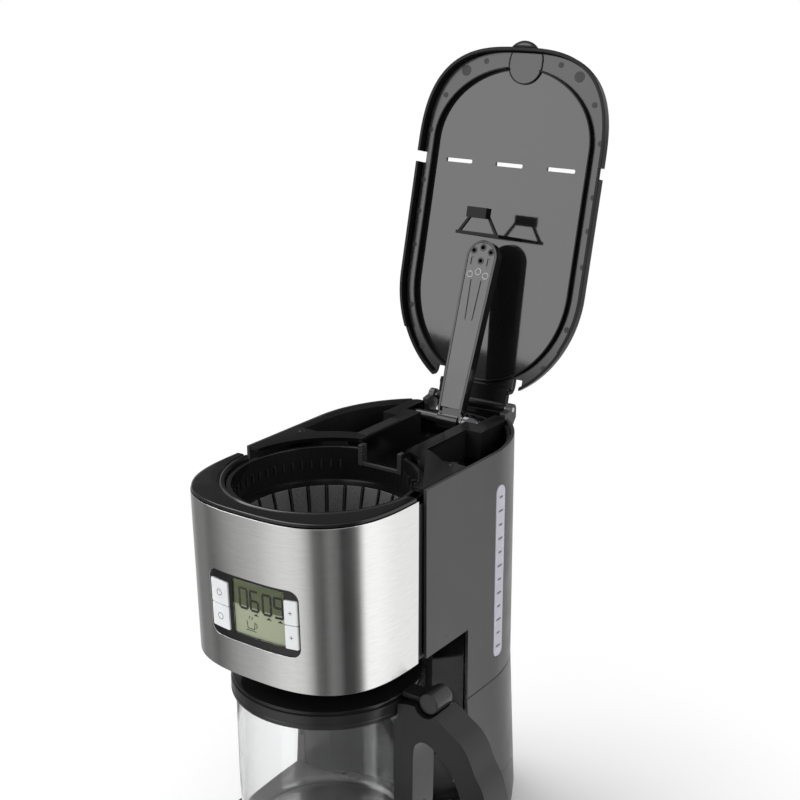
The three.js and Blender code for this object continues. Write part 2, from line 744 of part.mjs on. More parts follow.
function lugRoom() {
  return union(
    box(31.5, 39.5, 164, 200, RING_TOP - 5, 400),
    box(-39.5, -31.5, 164, 200, RING_TOP - 5, 400),
  );
}

function lidShell() {
  const edge = RING_TOP + 0.5;
  const under = RING_TOP + 9;
  const outer = loft([
    lidOutline(0, edge),
    lidOutline(0.4, RING_TOP + 7),
    lidOutline(2.2, RING_TOP + 10.6),
    lidOutline(7, RING_TOP + 12.4),
  ]);
  const inner = loft([lidOutline(2.4, edge - 1), lidOutline(2.8, under)]);
  const barrel = rodX(4, -30.5, 30.5, HINGE_Y, HINGE_Z, 20);
  const web = box(-30.5, 30.5, 172, HINGE_Y, HINGE_Z - 1, HINGE_Z + 3.6);
  const notches = union(
    box(79, 90, -2.3, 6.2, RING_TOP - 5, 400),
    box(-90, -79, -2.3, 6.2, RING_TOP - 5, 400),
  );
  const tab = prismZ(tabOutline(GAP), edge - 1, RING_TOP + 4);
  const rearRise = box(-100, 100, 138, 200, edge - 1, RING_TOP + 2.6);
  const made = union(outer.subtract(inner).subtract(rearRise), web, barrel)
    .subtract(lidSlots())
    .subtract(notches)
    .subtract(lugRoom())
    .subtract(tab)
    .subtract(rodX(HINGE_PIN_R + GAP, -40, 40, HINGE_Y, HINGE_Z, 16));
  addLid("lid_shell", made, GLOSS_BLACK);
}

function lidInnerPanel() {
  const z = RING_TOP + 8.7;
  const plate = loft([lidOutline(3.2, z - 2), lidOutline(3.2, z)]);
  const rib = prismZ(ribOutline(0), RING_TOP + 2.8, z - 1).subtract(
    prismZ(ribOutline(1.8), RING_TOP, z),
  );
  const barrelRoom = union(box(-45, 45, 181.5, 200, 200, 400), lugRoom());
  const made = union(plate, rib)
    .subtract(lidSlots())
    .subtract(barrelRoom)
    .subtract(prismZ(tabOutline(GAP), RING_TOP, RING_TOP + 4));
  addLid("lid_inner_panel", made, LID_GREY);
}

function lidFingerTab() {
  const made = prismZ(tabOutline(0), RING_TOP + 0.6, RING_TOP + 3.6);
  addLid("lid_finger_tab", made, GLOSS_BLACK);
}

// Loop on the lid that carries the arm up, with a braced block beyond it.
function lidArmGuide() {
  const x = ARM_X;
  const low = RING_TOP - 28;
  const high = RING_TOP + 6.4;
  const legs = union(
    box(x - 19, x - 16.6, 56.5, 59, low, high),
    box(x + 16.6, x + 19, 56.5, 59, low, high),
  );
  const bar = box(x - 19, x + 19, 56.5, 59, low, low + 2.2);
  const strut = (side) =>
    prismZ(
      [
        [x + side * 19, 59],
        [x + side * 16.4, 59],
        [x + side * 6.5, 44],
        [x + side * 8.6, 44],
      ],
      low,
      low + 2.2,
    );
  const block = box(x - 8.5, x + 8.5, 38, 46, low - 5, low + 2.4);
  const made = union(legs, bar, block, strut(-1), strut(1));
  addLid("lid_arm_guide", made, SATIN_BLACK);
}

function hingePin() {
  add("lid_hinge_pin", rodX(HINGE_PIN_R, -HINGE_LUG[1], HINGE_LUG[1], HINGE_Y, HINGE_Z, 16), ALUMINIUM);
}

// Spray arm, drawn lying forward and then raised about its pivot.

function addArm(name, made, look) {
  add(name, openAbout(ARM_PIVOT_Y, ARM_PIVOT_Z, ARM_OPEN, made), look);
}

function armPlan(d) {
  const root = ARM_ROOT - d;
  const tip = ARM_TIP - d;
  const y0 = ARM_PIVOT_Y - 6;
  const y1 = ARM_PIVOT_Y - ARM_LENGTH + tip + d;
  const points = [[ARM_X + root, y0], [ARM_X - root, y0]];
  for (let i = 0; i <= 10; i++) {
    const t = Math.PI + (Math.PI * i) / 10;
    points.push([ARM_X + tip * Math.cos(t), y1 + tip * Math.sin(t)]);
  }
  return points;
}

function sprayArm() {
  const low = ARM_PIVOT_Z - ARM_UNDERSIDE;
  const high = low + ARM_THICKNESS;
  const trough = prismZ(armPlan(0), low, high).subtract(prismZ(armPlan(1.6), low - 1, high - 1.6));
  const hub = rodX(7, ARM_X - ARM_ROOT, ARM_X + 7.6, ARM_PIVOT_Y, ARM_PIVOT_Z, 20);
  const neck = box(ARM_X - ARM_ROOT, ARM_X + ARM_ROOT, ARM_PIVOT_Y - 9, ARM_PIVOT_Y, low + 2, high);
  const rounded = neck.intersect(rodX(11, -30, 30, ARM_PIVOT_Y, ARM_PIVOT_Z, 24));
  const shaftRoom = rodX(SHAFT_R + GAP, ARM_X - 30, ARM_X + 30, ARM_PIVOT_Y, ARM_PIVOT_Z, 20);
  const made = union(trough, hub, rounded).subtract(shaftRoom);
  addArm("spray_arm", made, DARK_GREY);
}

function sprayPlate() {
  const low = ARM_PIVOT_Z - ARM_UNDERSIDE;
  const rear = box(-40, 40, ARM_PIVOT_Y - 9.6, ARM_PIVOT_Y + 20, 0, 400);
  let made = prismZ(armPlan(1.9), low + 0.2, low + 1.8).subtract(rear);
  const tip = ARM_PIVOT_Y - ARM_LENGTH;
  const holes = [[-7.5, 8.5], [0, 5.5], [7.5, 8.5], [0, 16]];
  for (const [x, y] of holes) {
    made = made.subtract(disc(1.5, low - 1, low + 3, 10, ARM_X + x, tip + y));
  }
  addArm("spray_plate", made, MID_GREY);
}

function pivotShaft() {
  const made = rodX(SHAFT_R, ARM_X - 40.5, ARM_X + ARM_ROOT, ARM_PIVOT_Y, ARM_PIVOT_Z, 20);
  addArm("arm_pivot_shaft", made, DARK_GREY);
  const start = ARM_X + 10.7;
  const dome = new THREE.SphereGeometry(7.6, 20, 12);
  dome.scale(1.5, 1, 1);
  dome.translate(start + 4, ARM_PIVOT_Y, ARM_PIVOT_Z);
  const cap = union(solid(dome), rodX(7.7, start, start + 4, ARM_PIVOT_Y, ARM_PIVOT_Z, 20));
  const clipped = cap.intersect(box(start, ARM_X + 40, 100, 200, 200, 400));
  addArm("pivot_end_cap", clipped, DOME);
}

// Filter basket and drip stop

function filterBasket() {
  const shell = lathe(
    [
      [9.5, BASKET_FLOOR],
      [43, BASKET_FLOOR],
      [67.6, RING_TOP - 28],
      [67.6, RING_TOP - 7.3],
      [69.4, RING_TOP - 7.3],
      [69.4, BASKET_TOP],
      [65.6, BASKET_TOP],
      [65.6, RING_TOP - 28.5],
      [41.5, BASKET_FLOOR + 2.5],
      [9.5, BASKET_FLOOR + 2.5],
    ],
    ROUND,
    OVAL,
  );
  const ribs = [];
  for (let i = 0; i < BASKET_RIBS; i++) {
    const t = (2 * Math.PI * i) / BASKET_RIBS;
    const c = Math.cos(t) * OVAL;
    const s = Math.sin(t);
    const g = new THREE.BoxGeometry(2.6, 1.2, 1);
    g.translate(0, 0, 0.5);
    const p = g.attributes.position;
    for (let k = 0; k < p.count; k++) {
      const up = p.getZ(k) > 0.5;
      const r = (up ? 63.2 : 42.3) + p.getX(k);
      const y = p.getY(k);
      p.setXYZ(k, r * c - y * s, r * s + y * c, up ? RING_TOP - 34 : BASKET_FLOOR + 3.5);
    }
    ribs.push(solid(g));
  }
  const notch = box(ARM_X - 19.3, ARM_X + 19.3, 50, 80, RING_TOP - 16.3, 400);
  const made = union(shell, ...ribs).subtract(notch);
  add("filter_basket", made, GLOSS_BLACK);
}

function basketGrip() {
  const lug = (x0, x1) => box(x0, x1, 61.4, 68, RING_TOP - 16, RING_TOP - 0.6);
  const bar = box(ARM_X - 19, ARM_X + 19, 62, 64.6, RING_TOP - 16, RING_TOP - 13.4);
  const round = disc(69.4, 200, 400, ROUND, 0, 0, OVAL);
  const made = union(lug(ARM_X - 19, ARM_X - 15.5), lug(ARM_X + 15.5, ARM_X + 19), bar);
  add("basket_grip", made.intersect(round), MID_GREY);
}

function dripStop() {
  const stem = lathe(
    [
      [0, VALVE_BOTTOM],
      [5, VALVE_BOTTOM],
      [8, VALVE_BOTTOM + 1.4],
      [8, RING_TOP - 119],
      [12, RING_TOP - 118],
      [12, RING_TOP - 117],
      [8, RING_TOP - 116],
      [8, BASKET_FLOOR + 2.8],
      [12, BASKET_FLOOR + 2.8],
      [12, BASKET_FLOOR + 4.6],
      [0, BASKET_FLOOR + 5.6],
    ],
    24,
  );
  add("drip_valve", stem, DARK_GREY);
  const points = [];
  const turns = 4;
  const steps = turns * 8;
  for (let i = 0; i <= steps; i++) {
    const t = (2 * Math.PI * turns * i) / steps;
    const z = RING_TOP - 115.9 + ((115.9 - 109.6) * i) / steps;
    points.push([9.8 * Math.cos(t), 9.8 * Math.sin(t), z]);
  }
  add("drip_spring", pipe(points, 0.45, 52, 4), ALUMINIUM);
}

// Jug

function glassJug() {
  const outer = [
    [0, JUG_BOTTOM],
    [56, JUG_BOTTOM],
    [60, JUG_BOTTOM + 1.4],
    [62.6, JUG_BOTTOM + 5],
    [64, JUG_BOTTOM + 16],
    [65, JUG_BOTTOM + 40],
    [JUG_R, 120],
    [JUG_R, 152],
  ];
  const inner = [
    [JUG_R - JUG_WALL, 152],
    [JUG_R - JUG_WALL, 120],
    [65 - JUG_WALL, JUG_BOTTOM + 40],
    [64 - JUG_WALL, JUG_BOTTOM + 16],
    [61, JUG_BOTTOM + 7.4],
    [58.6, JUG_BOTTOM + 3.8],
    [55, JUG_BOTTOM + 2.4],
    [0, JUG_BOTTOM + 2.4],
  ];
  add("glass_jug", lathe([...outer, ...inner], ROUND), GLASS);
}

function jugTop() {
  const z0 = COLLAR_BOTTOM;
  const z1 = COLLAR_TOP;
  const collar = lathe(
    [
      [66, z0],
      [68.6, z0],
      [69, z0 + 1.2],
      [69, z1 - 1],
      [68.4, z1],
      [66, z1],
    ],
    ROUND,
  );
  add("jug_collar", collar, DARK_GREY);
  const lid = lathe(
    [
      [0, z1 + 6],
      [58, z1 + 1.6],
      [60, z1 - 6],
      [62.6, z1 - 6],
      [62.6, z1 + GAP],
      [68, z1 + GAP],
      [68, z1 + 2.6],
      [60, z1 + 7],
      [30, z1 + 10.4],
      [14, z1 + 11.2],
      [11, BOSS_TOP - 0.2],
      [5, BOSS_TOP],
      [4, z1 + 11],
      [0, z1 + 10],
    ],
    ROUND,
  );
  add("jug_lid", lid, GLOSS_BLACK);
  const knob = rodY(8, -9.5, 9.5, KNOB_X, KNOB_Z, 24);
  const tongue = box(69, KNOB_X, -7, 7, z1 + 2, z1 + 6.4);
  add("jug_lid_knob", union(knob, tongue), DARK_GREY);
}

function jugHandle() {
  const half = HANDLE_WIDTH / 2;
  const profile = [
    [69.4, 157],
    [80, 159],
    [93, 158],
    [103, 154],
    [112, 148],
    [121, 142],
    [127, 134],
    [132, 123],
    [138, 113],
    [142, 100],
    [144, 86],
    [143, 70],
    [138, 58],
    [130, 53],
    [121, 55],
    [117.5, 63],
    [121, 78],
    [122.5, 92],
    [119, 106],
    [112, 119],
    [102, 129],
    [92, 134],
    [84.5, 130],
    [82.5, 120],
    [82, 90],
    [81, 68],
    [76, 62],
    [67.2, 62],
    [66.6, 80],
    [66.2, 144],
    [69.4, 146.2],
  ];
  const body = prismY(profile, -half, half);
  const recess = rodY(8.8, -20, 20, KNOB_X, KNOB_Z, 24);
  const glassRoom = disc(JUG_R + 0.6, 0, 170, ROUND);
  const collarRoom = disc(69.5, COLLAR_BOTTOM - 0.4, 170, ROUND);
  const lidRoom = box(60, KNOB_X, -7.4, 7.4, COLLAR_TOP + 1.6, 200);
  const made = body
    .subtract(recess)
    .subtract(glassRoom)
    .subtract(collarRoom)
    .subtract(lidRoom)
    .subtract(disc(68.6, COLLAR_TOP - 0.2, 200, ROUND))
    .subtract(rodX(3.4, 79, 90, 0, HANDLE_SCREW_Z, 16));
  add("jug_handle", made, SATIN_BLACK);
  add("jug_handle_screw", rodX(3, 79.4, 81, 0, HANDLE_SCREW_Z, 16), ALUMINIUM);
}

steelFrontCover();
controls();
brewHeadShell();
basketWell();
topRing();
tankHousing();
levelWindow();
topDeck();
waterTank();
plumbing();
baseHousing();
baseTray();
columnFrontPanel();
bottomCover();
feetAndScrews();
heater();
lidShell();
lidInnerPanel();
lidFingerTab();
lidArmGuide();
hingePin();
sprayArm();
sprayPlate();
pivotShaft();
filterBasket();
basketGrip();
dripStop();
glassJug();
jugTop();
jugHandle();

export default group;
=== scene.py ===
"""Drip coffee maker with its lid raised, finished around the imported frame."""
import json
import math
import bmesh
import bpy
from mathutils import Matrix, Vector


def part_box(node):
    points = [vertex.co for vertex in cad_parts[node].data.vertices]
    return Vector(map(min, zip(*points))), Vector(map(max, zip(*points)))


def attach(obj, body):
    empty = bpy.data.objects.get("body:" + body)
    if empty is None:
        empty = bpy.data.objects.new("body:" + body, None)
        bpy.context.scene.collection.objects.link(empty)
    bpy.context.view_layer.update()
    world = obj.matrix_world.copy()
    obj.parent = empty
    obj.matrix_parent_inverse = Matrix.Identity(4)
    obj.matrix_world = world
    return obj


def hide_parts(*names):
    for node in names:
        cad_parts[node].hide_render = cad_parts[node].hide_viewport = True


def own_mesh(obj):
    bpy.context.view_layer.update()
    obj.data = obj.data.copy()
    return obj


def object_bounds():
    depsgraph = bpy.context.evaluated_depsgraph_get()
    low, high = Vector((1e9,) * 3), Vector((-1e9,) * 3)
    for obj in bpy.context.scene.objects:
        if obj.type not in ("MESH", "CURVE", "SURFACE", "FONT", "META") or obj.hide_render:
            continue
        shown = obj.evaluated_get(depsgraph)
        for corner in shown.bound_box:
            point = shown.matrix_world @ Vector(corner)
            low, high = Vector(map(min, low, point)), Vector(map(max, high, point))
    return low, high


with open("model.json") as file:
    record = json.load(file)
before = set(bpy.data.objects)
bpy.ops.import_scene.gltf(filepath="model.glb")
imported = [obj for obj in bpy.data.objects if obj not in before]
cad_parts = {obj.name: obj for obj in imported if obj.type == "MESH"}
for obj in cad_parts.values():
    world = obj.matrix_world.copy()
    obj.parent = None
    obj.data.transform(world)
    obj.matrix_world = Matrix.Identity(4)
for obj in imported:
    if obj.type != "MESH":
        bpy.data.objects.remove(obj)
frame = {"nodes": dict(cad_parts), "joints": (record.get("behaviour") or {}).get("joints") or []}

bl_info = {
    "name": "Drip Coffee Maker",
    "version": (1, 0, 0),
    "blender": (4, 5, 0),
    "location": "View3D > Sidebar > Coffee Maker",
    "description": "Builds the finished pieces of a drip coffee maker around its frame",
    "category": "Object",
}

CAD_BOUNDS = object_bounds()
MM = 0.001
CURVE = 56  # steps in each half of the machine's plan
ROUND = 96  # sides of a large round part
CLOSE = 0.0005  # points nearer than this are one
LOOSE = 0.002  # the same after a cut, whose points are less exact
SHARP_ANGLE = 40  # edges sharper than this, in degrees, stay crisp


def low(node):
    return [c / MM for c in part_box(node)[0]]


def high(node):
    return [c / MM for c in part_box(node)[1]]


def middle(node):
    return [(a + b) / 2 for a, b in zip(low(node), high(node))]


# Levels and sizes in millimetres, from the frame where it has them
RING_TOP = high("top_ring")[2]
STEEL_TOP = high("steel_front_cover")[2]
HEAD_BOTTOM = low("steel_front_cover")[2]
SEAM = low("tank_housing")[2]
PLATFORM = low("column_front_panel")[2] - 0.5
TRAY_SIDE_TOP = high("base_tray")[2]
HALF_WIDTH = high("bottom_cover")[0]
FRONT_CENTRE = -3.0
FRONT_DEPTH = FRONT_CENTRE - low("bottom_cover")[1]
REAR_CENTRE = 95.0
REAR_DEPTH = high("bottom_cover")[1] - REAR_CENTRE
FRONT_POWER = 2.86
REAR_POWER = 1.95
OVAL = 0.95
HOLE_R = 70.0
COLUMN_FRONT = 62.0
HOUSING_FRONT = 9.0
GAP = 0.3
STEEL_HALF = high("steel_front_cover")[0]
STEEL_LEAN = (78.5, 83.2)  # depth of the cover's front at its bottom and top
KNOB_X = 92.0
KNOB_Z = RING_TOP - 143.5
GLAND_Z = 26
FAR = 200  # past every side of the machine
ABOVE = 400  # past its top


def joint(name):
    return next(j for j in frame["joints"] if j["name"] == name)


LID_PIVOT = [c / MM for c in joint("lid_hinge")["pos_m"]]
ARM_PIVOT = [c / MM for c in joint("arm_pivot")["pos_m"]]
LID_OPEN = -joint("lid_hinge")["range_deg"][0]
ARM_OPEN = 110.87
ARM_X = 1.5


# ---------------------------------------------------------------- sizes and colours


class CoffeeSizes(bpy.types.PropertyGroup):
    rib_count: bpy.props.IntProperty(
        name="Basket ribs", description="Long ribs inside the filter basket",
        default=28, min=8, max=40)
    gauge_marks: bpy.props.IntProperty(
        name="Gauge marks", description="Marks on the water level window",
        default=12, min=4, max=20)
    floor_radius: bpy.props.FloatProperty(
        name="Floor radius", description="Radius of the studio floor",
        default=9.0, min=2.0, max=20.0, unit="LENGTH")
    lens: bpy.props.FloatProperty(
        name="Lens", description="Focal length of the camera in millimetres",
        default=65.05, min=20.0, max=200.0)


def colour(label, text, value):
    return bpy.props.FloatVectorProperty(
        name=label, description=text, subtype="COLOR", size=3, min=0.0, max=1.0, default=value)


class CoffeeColours(bpy.types.PropertyGroup):
    steel: colour("Steel", "Brushed front cover", (0.60, 0.598, 0.592))
    gloss_black: colour("Gloss black", "Ring, deck and lid rim", (0.006, 0.006, 0.0062))
    deep_black: colour("Deep black", "Deck, lid rim and loop", (0.0026, 0.0026, 0.0027))
    # The basket facet colour is the basket's black plastic made far paler: a painted sheen on the lit cone
    facet: colour("Basket facet", "Panels between the basket ribs", (0.075, 0.075, 0.076))
    satin_black: colour("Satin black", "Handle and inner parts", (0.009, 0.009, 0.0095))
    side_grey: colour("Side grey", "Tank and base housings", (0.031, 0.0295, 0.030))
    dark_grey: colour("Dark grey", "Collar, knob and arm", (0.016, 0.016, 0.0165))
    lid_grey: colour("Lid grey", "Panel inside the lid", (0.008, 0.008, 0.0082))
    shelf_grey: colour("Shelf grey", "Rim shelf inside the lid", (0.012, 0.012, 0.0125))
    mid_grey: colour("Mid grey", "Arm face and basket grip", (0.026, 0.026, 0.0265))
    pale_grey: colour("Pale grey", "Raised rings on the arm", (0.30, 0.30, 0.31))
    silver: colour("Button silver", "Push buttons", (0.66, 0.67, 0.68))
    aluminium: colour("Aluminium", "Hot plate, pins and screws", (0.55, 0.56, 0.58))
    rubber: colour("Rubber", "Feet, gland and seal", (0.018, 0.018, 0.018))
    board: colour("Board", "Circuit board", (0.03, 0.14, 0.06))
    # The display's upper colour is a painted shade laid over the pale display colour below it
    lcd_painted_shade: colour("Display top", "Shaded upper part of the display", (0.085, 0.105, 0.045))
    lcd_pale: colour("Display bottom", "Lit lower part of the display", (0.36, 0.39, 0.27))
    ink: colour("Ink", "Digits and icons", (0.012, 0.014, 0.012))
    gauge: colour("Gauge", "Water level window", (0.47, 0.455, 0.53))
    mark: colour("Gauge mark", "Marks beside the level window", (0.09, 0.088, 0.11))
    glass: colour("Glass", "Jug", (0.985, 0.99, 0.992))
    hose: colour("Hose", "Silicone tubes", (0.36, 0.36, 0.34))


# ---------------------------------------------------------------- materials


def node(tree, kind, inputs=None, **settings):
    """A shader node. inputs maps its sockets to values or to the outputs that feed them."""
    made = tree.nodes.new("ShaderNode" + kind)
    for key, value in settings.items():
        setattr(made, key, value)
    feed(tree, made, inputs or {})
    return made


def feed(tree, shader, inputs):
    for key, value in inputs.items():
        if isinstance(value, bpy.types.NodeSocket):
            tree.links.new(value, shader.inputs[key])
        else:
            shader.inputs[key].default_value = value


def start_material(name, base, roughness, metallic=0.0, specular=0.5, coat=0.0):
    m = bpy.data.materials.new(name)
    m.use_nodes = True
    m.diffuse_color = (*base, 1.0)
    shader = m.node_tree.nodes["Principled BSDF"]
    feed(m.node_tree, shader, {
        "Base Color": (*base, 1.0), "Roughness": roughness, "Metallic": metallic,
        "Specular IOR Level": specular, "Coat Weight": coat})
    return m, m.node_tree, shader


def pattern(tree, scale, detail=2.0, stretch=(1.0, 1.0, 1.0)):
    """Noise on Object coordinates; scale is features per metre."""
    where = node(tree, "TexCoord").outputs["Object"]
    stretched = node(tree, "Mapping", {"Vector": where, "Scale": stretch}).outputs["Vector"]
    return node(tree, "TexNoise", {"Vector": stretched, "Scale": scale, "Detail": detail}).outputs["Fac"]


def spread(tree, value, low_out, high_out, low_in=0.3, high_in=0.7):
    """Carries a value from one range to another."""
    inputs = {"Value": value, "From Min": low_in, "From Max": high_in, "To Min": low_out, "To Max": high_out}
    return node(tree, "MapRange", inputs).outputs["Result"]


def blended(tree, factor, a, b, how="MIX"):
    """A blend of two colours; each is a tuple or an output."""
    a, b = [(*c, 1.0) if isinstance(c, tuple) else c for c in (a, b)]
    made = node(tree, "Mix", None, data_type="RGBA", blend_type=how)
    feed(tree, made, {"Factor": factor, "A": a, "B": b})
    return made.outputs["Result"]


def reckoned(tree, how, a, b):
    """A Math node on two values or outputs."""
    return node(tree, "Math", {0: a, 1: b}, operation=how).outputs["Value"]


def bump(tree, shader, height, strength, distance):
    made = node(tree, "Bump", {"Height": height, "Strength": strength, "Distance": distance})
    feed(tree, shader, {"Normal": made.outputs["Normal"]})


def tint(base, factor):
    return tuple(min(1.0, c * factor) for c in base)


def toned(tree, value, base, darker, paler):
    """The base colour, from darker to paler along a pattern."""
    return blended(tree, spread(tree, value, 0.0, 1.0), tint(base, darker), tint(base, paler))


def plastic(name, base, roughness, grain, variation, coat, wear_and_highlight, specular=0.5):
    """Moulded plastic: slow colour and gloss variation, fine grain, and paler edges, which are wear and, for
    the deck's finish, a painted edge highlight.
    """
    m, tree, shader = start_material(name, base, roughness, 0.0, specular, coat)
    slow = pattern(tree, 38.0, 3.0)
    fine = pattern(tree, 900.0, 2.0)
    edge = node(tree, "NewGeometry").outputs["Pointiness"]
    # Paler edges: wear, and where the factor is large, as on the deck, a painted edge highlight
    worn_and_highlit = spread(tree, edge, 0.0, 0.55, 0.52, 0.62)
    gloss = spread(tree, fine, roughness - variation * 0.4, roughness + variation * 0.4)
    feed(tree, shader, {
        "Base Color": blended(tree, worn_and_highlit, toned(tree, slow, base, 0.93, 1.08), tint(base, wear_and_highlight)),
        "Roughness": reckoned(tree, "ADD", spread(tree, slow, -variation, variation), gloss)})
    bump(tree, shader, fine, 0.12 + grain, 0.00004 + grain * 0.00012)
    return m


def metal(name, base, roughness, scale=420.0, strength=0.12):
    """Turned or drawn metal: fine streaks and slow dulling."""
    m, tree, shader = start_material(name, base, roughness, 1.0)
    streak = pattern(tree, scale, 3.0)
    dull = spread(tree, pattern(tree, 22.0, 2.0), -0.02, 0.03)
    feed(tree, shader, {
        "Base Color": toned(tree, streak, base, 0.86, 1.10),
        "Roughness": reckoned(tree, "ADD", spread(tree, streak, roughness - 0.06, roughness + 0.06), dull)})
    bump(tree, shader, streak, strength, 0.00003)
    return m


def brushed_steel(base):
    """Horizontal hairlines that run round the front; the tangent follows the piece's UV map."""
    m, tree, shader = start_material("steel", base, 0.30, 1.0)
    fine = pattern(tree, 120.0, 3.0, (1.0, 1.0, 60.0))
    coarse = pattern(tree, 50.0, 3.0, (1.0, 1.0, 30.0))
    cloud = pattern(tree, 14.0, 2.0, (1.0, 1.0, 1.4))
    streaks = toned(tree, fine, base, 0.93, 1.06)
    tangent = node(tree, "Tangent", direction_type="UV_MAP", uv_map="along").outputs["Tangent"]
    cloudy = spread(tree, cloud, -0.03, 0.03)
    feed(tree, shader, {
        "Base Color": blended(tree, spread(tree, coarse, 0.0, 0.22), streaks, (0.80, 0.80, 0.79), "MULTIPLY"),
        "Roughness": reckoned(tree, "ADD", spread(tree, fine, 0.17, 0.23), cloudy),
        "Anisotropic": 0.85, "Tangent": tangent})
    bump(tree, shader, fine, 0.06, 0.00001)
    return m


def clear(name, base, roughness=0.0, ior=1.47):
    """Glass with faint moulding waves and a few dull patches."""
    m, tree, shader = start_material(name, base, roughness)
    patches = spread(tree, pattern(tree, 70.0, 3.0), roughness, roughness + 0.025, 0.55, 0.75)
    feed(tree, shader, {"Transmission Weight": 1.0, "IOR": ior, "Roughness": patches})
    bump(tree, shader, pattern(tree, 30.0, 1.0), 0.06, 0.0004)
    return m


def display_face(top, bottom, level):
    """The display's upper part darkened by painted shade over its pale lower part, with a soft border."""
    m, tree, shader = start_material("lcd", bottom, 0.35, 0.0, 0.1)
    where = node(tree, "TexCoord").outputs["Object"]
    height = node(tree, "SeparateXYZ", {"Vector": where}).outputs["Z"]
    border = spread(tree, height, 0.0, 1.0, (level - 0.5) * MM, (level + 0.5) * MM)
    fine = pattern(tree, 1500.0, 1.0)
    pale = toned(tree, fine, bottom, 0.95, 1.05)
    # The upper part of the display: painted shade
    painted_shade_face = toned(tree, fine, top, 0.9, 1.1)
    gloss = spread(tree, fine, 0.3, 0.42)
    feed(tree, shader, {"Base Color": blended(tree, border, pale, painted_shade_face), "Roughness": gloss})
    bump(tree, shader, fine, 0.08, 0.00002)
    return m


# Moulded finishes: colour, roughness, grain, gloss variation, coat, edge wear and painted edge highlight, and
# specular level
PLASTICS = {
    "gloss_black": ("gloss_black", 0.15, 0.0, 0.04, 0.0, 3.0, 0.34),
    # deck_black's edge factor of 9 is a painted highlight along the deck's rounded edges
    "deck_black": ("deep_black", 0.12, 0.0, 0.03, 0.0, 9.0, 0.20),
    "rim_black": ("deep_black", 0.30, 0.0, 0.03, 0.0, 4.0, 0.10),
    "satin_black": ("satin_black", 0.36, 0.15, 0.05, 0.0, 2.2, 0.3),
    "side_grey": ("side_grey", 0.34, 0.12, 0.05, 0.0, 1.4, 0.34),
    "dark_grey": ("dark_grey", 0.24, 0.05, 0.05, 0.0, 1.8, 0.35),
    "lid_grey": ("lid_grey", 0.07, 0.0, 0.015, 0.0, 1.3),
    "shelf_grey": ("shelf_grey", 0.20, 0.0, 0.03, 0.0, 1.4, 0.42),
    "shelf_mark": ("shelf_grey", 0.42, 0.0, 0.03, 0.0, 1.4, 0.28),
    "basket_black": ("gloss_black", 0.13, 0.0, 0.03, 0.0, 2.0),
    # The facet finish is a painted sheen: the basket's black made paler so that the cone panels read bright
    "facet": ("facet", 0.28, 0.0, 0.04, 0.0, 1.3, 0.7),
    "pale_grey": ("pale_grey", 0.3, 0.0, 0.04, 0.0, 1.2),
    "mid_grey": ("mid_grey", 0.24, 0.0, 0.04, 0.0, 1.4, 0.5),
    "silver": ("silver", 0.30, 0.05, 0.04, 0.2, 1.12),
    "rubber": ("rubber", 0.72, 0.4, 0.08, 0.0, 1.8, 0.3),
    "board": ("board", 0.5, 0.2, 0.08, 0.0, 1.6),
    "gauge": ("gauge", 0.26, 0.0, 0.04, 0.2, 1.05),
    "mark": ("mark", 0.4, 0.0, 0.04, 0.0, 1.1),
    "ink": ("ink", 0.45, 0.0, 0.04, 0.0, 1.2, 0.06),
    "hose": ("hose", 0.42, 0.1, 0.05, 0.0, 1.2),
}
LCD_BORDER = RING_TOP - 68.4
PLATE_METAL = (0.09, 0.09, 0.095)
DOME_METAL = (0.085, 0.085, 0.09)
WINDOW = (0.95, 0.96, 0.95)


def finish_of(name):
    """The material of a named finish, made once."""
    if name in bpy.data.materials and bpy.data.materials[name].get("coffee"):
        return bpy.data.materials[name]
    colours = bpy.context.scene.coffee_colours

    def rgb(key):
        return tuple(getattr(colours, key))

    makers = {
        "steel": lambda: brushed_steel(rgb("steel")),
        "aluminium": lambda: metal("aluminium", rgb("aluminium"), 0.34),
        "dark_plate": lambda: metal("dark_plate", PLATE_METAL, 0.38, 300.0),
        "dome_metal": lambda: metal("dome_metal", DOME_METAL, 0.16, 260.0, 0.04),
        "clear_glass": lambda: clear("clear_glass", rgb("glass")),
        "lens": lambda: clear("lens", WINDOW, 0.01, 1.2),
        "lcd": lambda: display_face(rgb("lcd_painted_shade"), rgb("lcd_pale"), LCD_BORDER),
    }
    if name in PLASTICS:
        key, *values = PLASTICS[name]
        made = plastic(name, rgb(key), *values)
    else:
        made = makers[name]()
    made["coffee"] = True
    return made


# ---------------------------------------------------------------- shapes


def power(value, n):
    return math.copysign(abs(value) ** (2 / n), value)


def half_curve(half, centre, depth, n, start, steps=CURVE):
    """Half of a rounded shape, from a bearing of start half turns."""
    turns = [math.pi * (start + i / steps) for i in range(steps + 1)]
    return [(half * power(math.cos(t), n), centre + depth * power(math.sin(t), n)) for t in turns]


def front_curve(half, depth):
    """Points round the blunt front, from the left side to the right side."""
    return half_curve(half, FRONT_CENTRE, depth, FRONT_POWER, 1)


def plan(half, front, rear):
    return front_curve(half, front) + half_curve(half, REAR_CENTRE, rear, REAR_POWER, 0)


def stadium(half, front_centre, front_r, rear_centre, rear_r, steps=40):
    """An outline with an elliptical half at each end."""
    return (half_curve(half, front_centre, front_r, 2, 1, steps)
            + half_curve(half, rear_centre, rear_r, 2, 0, steps))


def rounded(u0, u1, v0, v1, r, steps=8):
    points = []
    corners = ((u1 - r, v0 + r, -90), (u1 - r, v1 - r, 0), (u0 + r, v1 - r, 90), (u0 + r, v0 + r, 180))
    for u, v, start in corners:
        for i in range(steps + 1):
            t = math.radians(start + 90 * i / steps)
            points.append((u + r * math.cos(t), v + r * math.sin(t)))
    return points


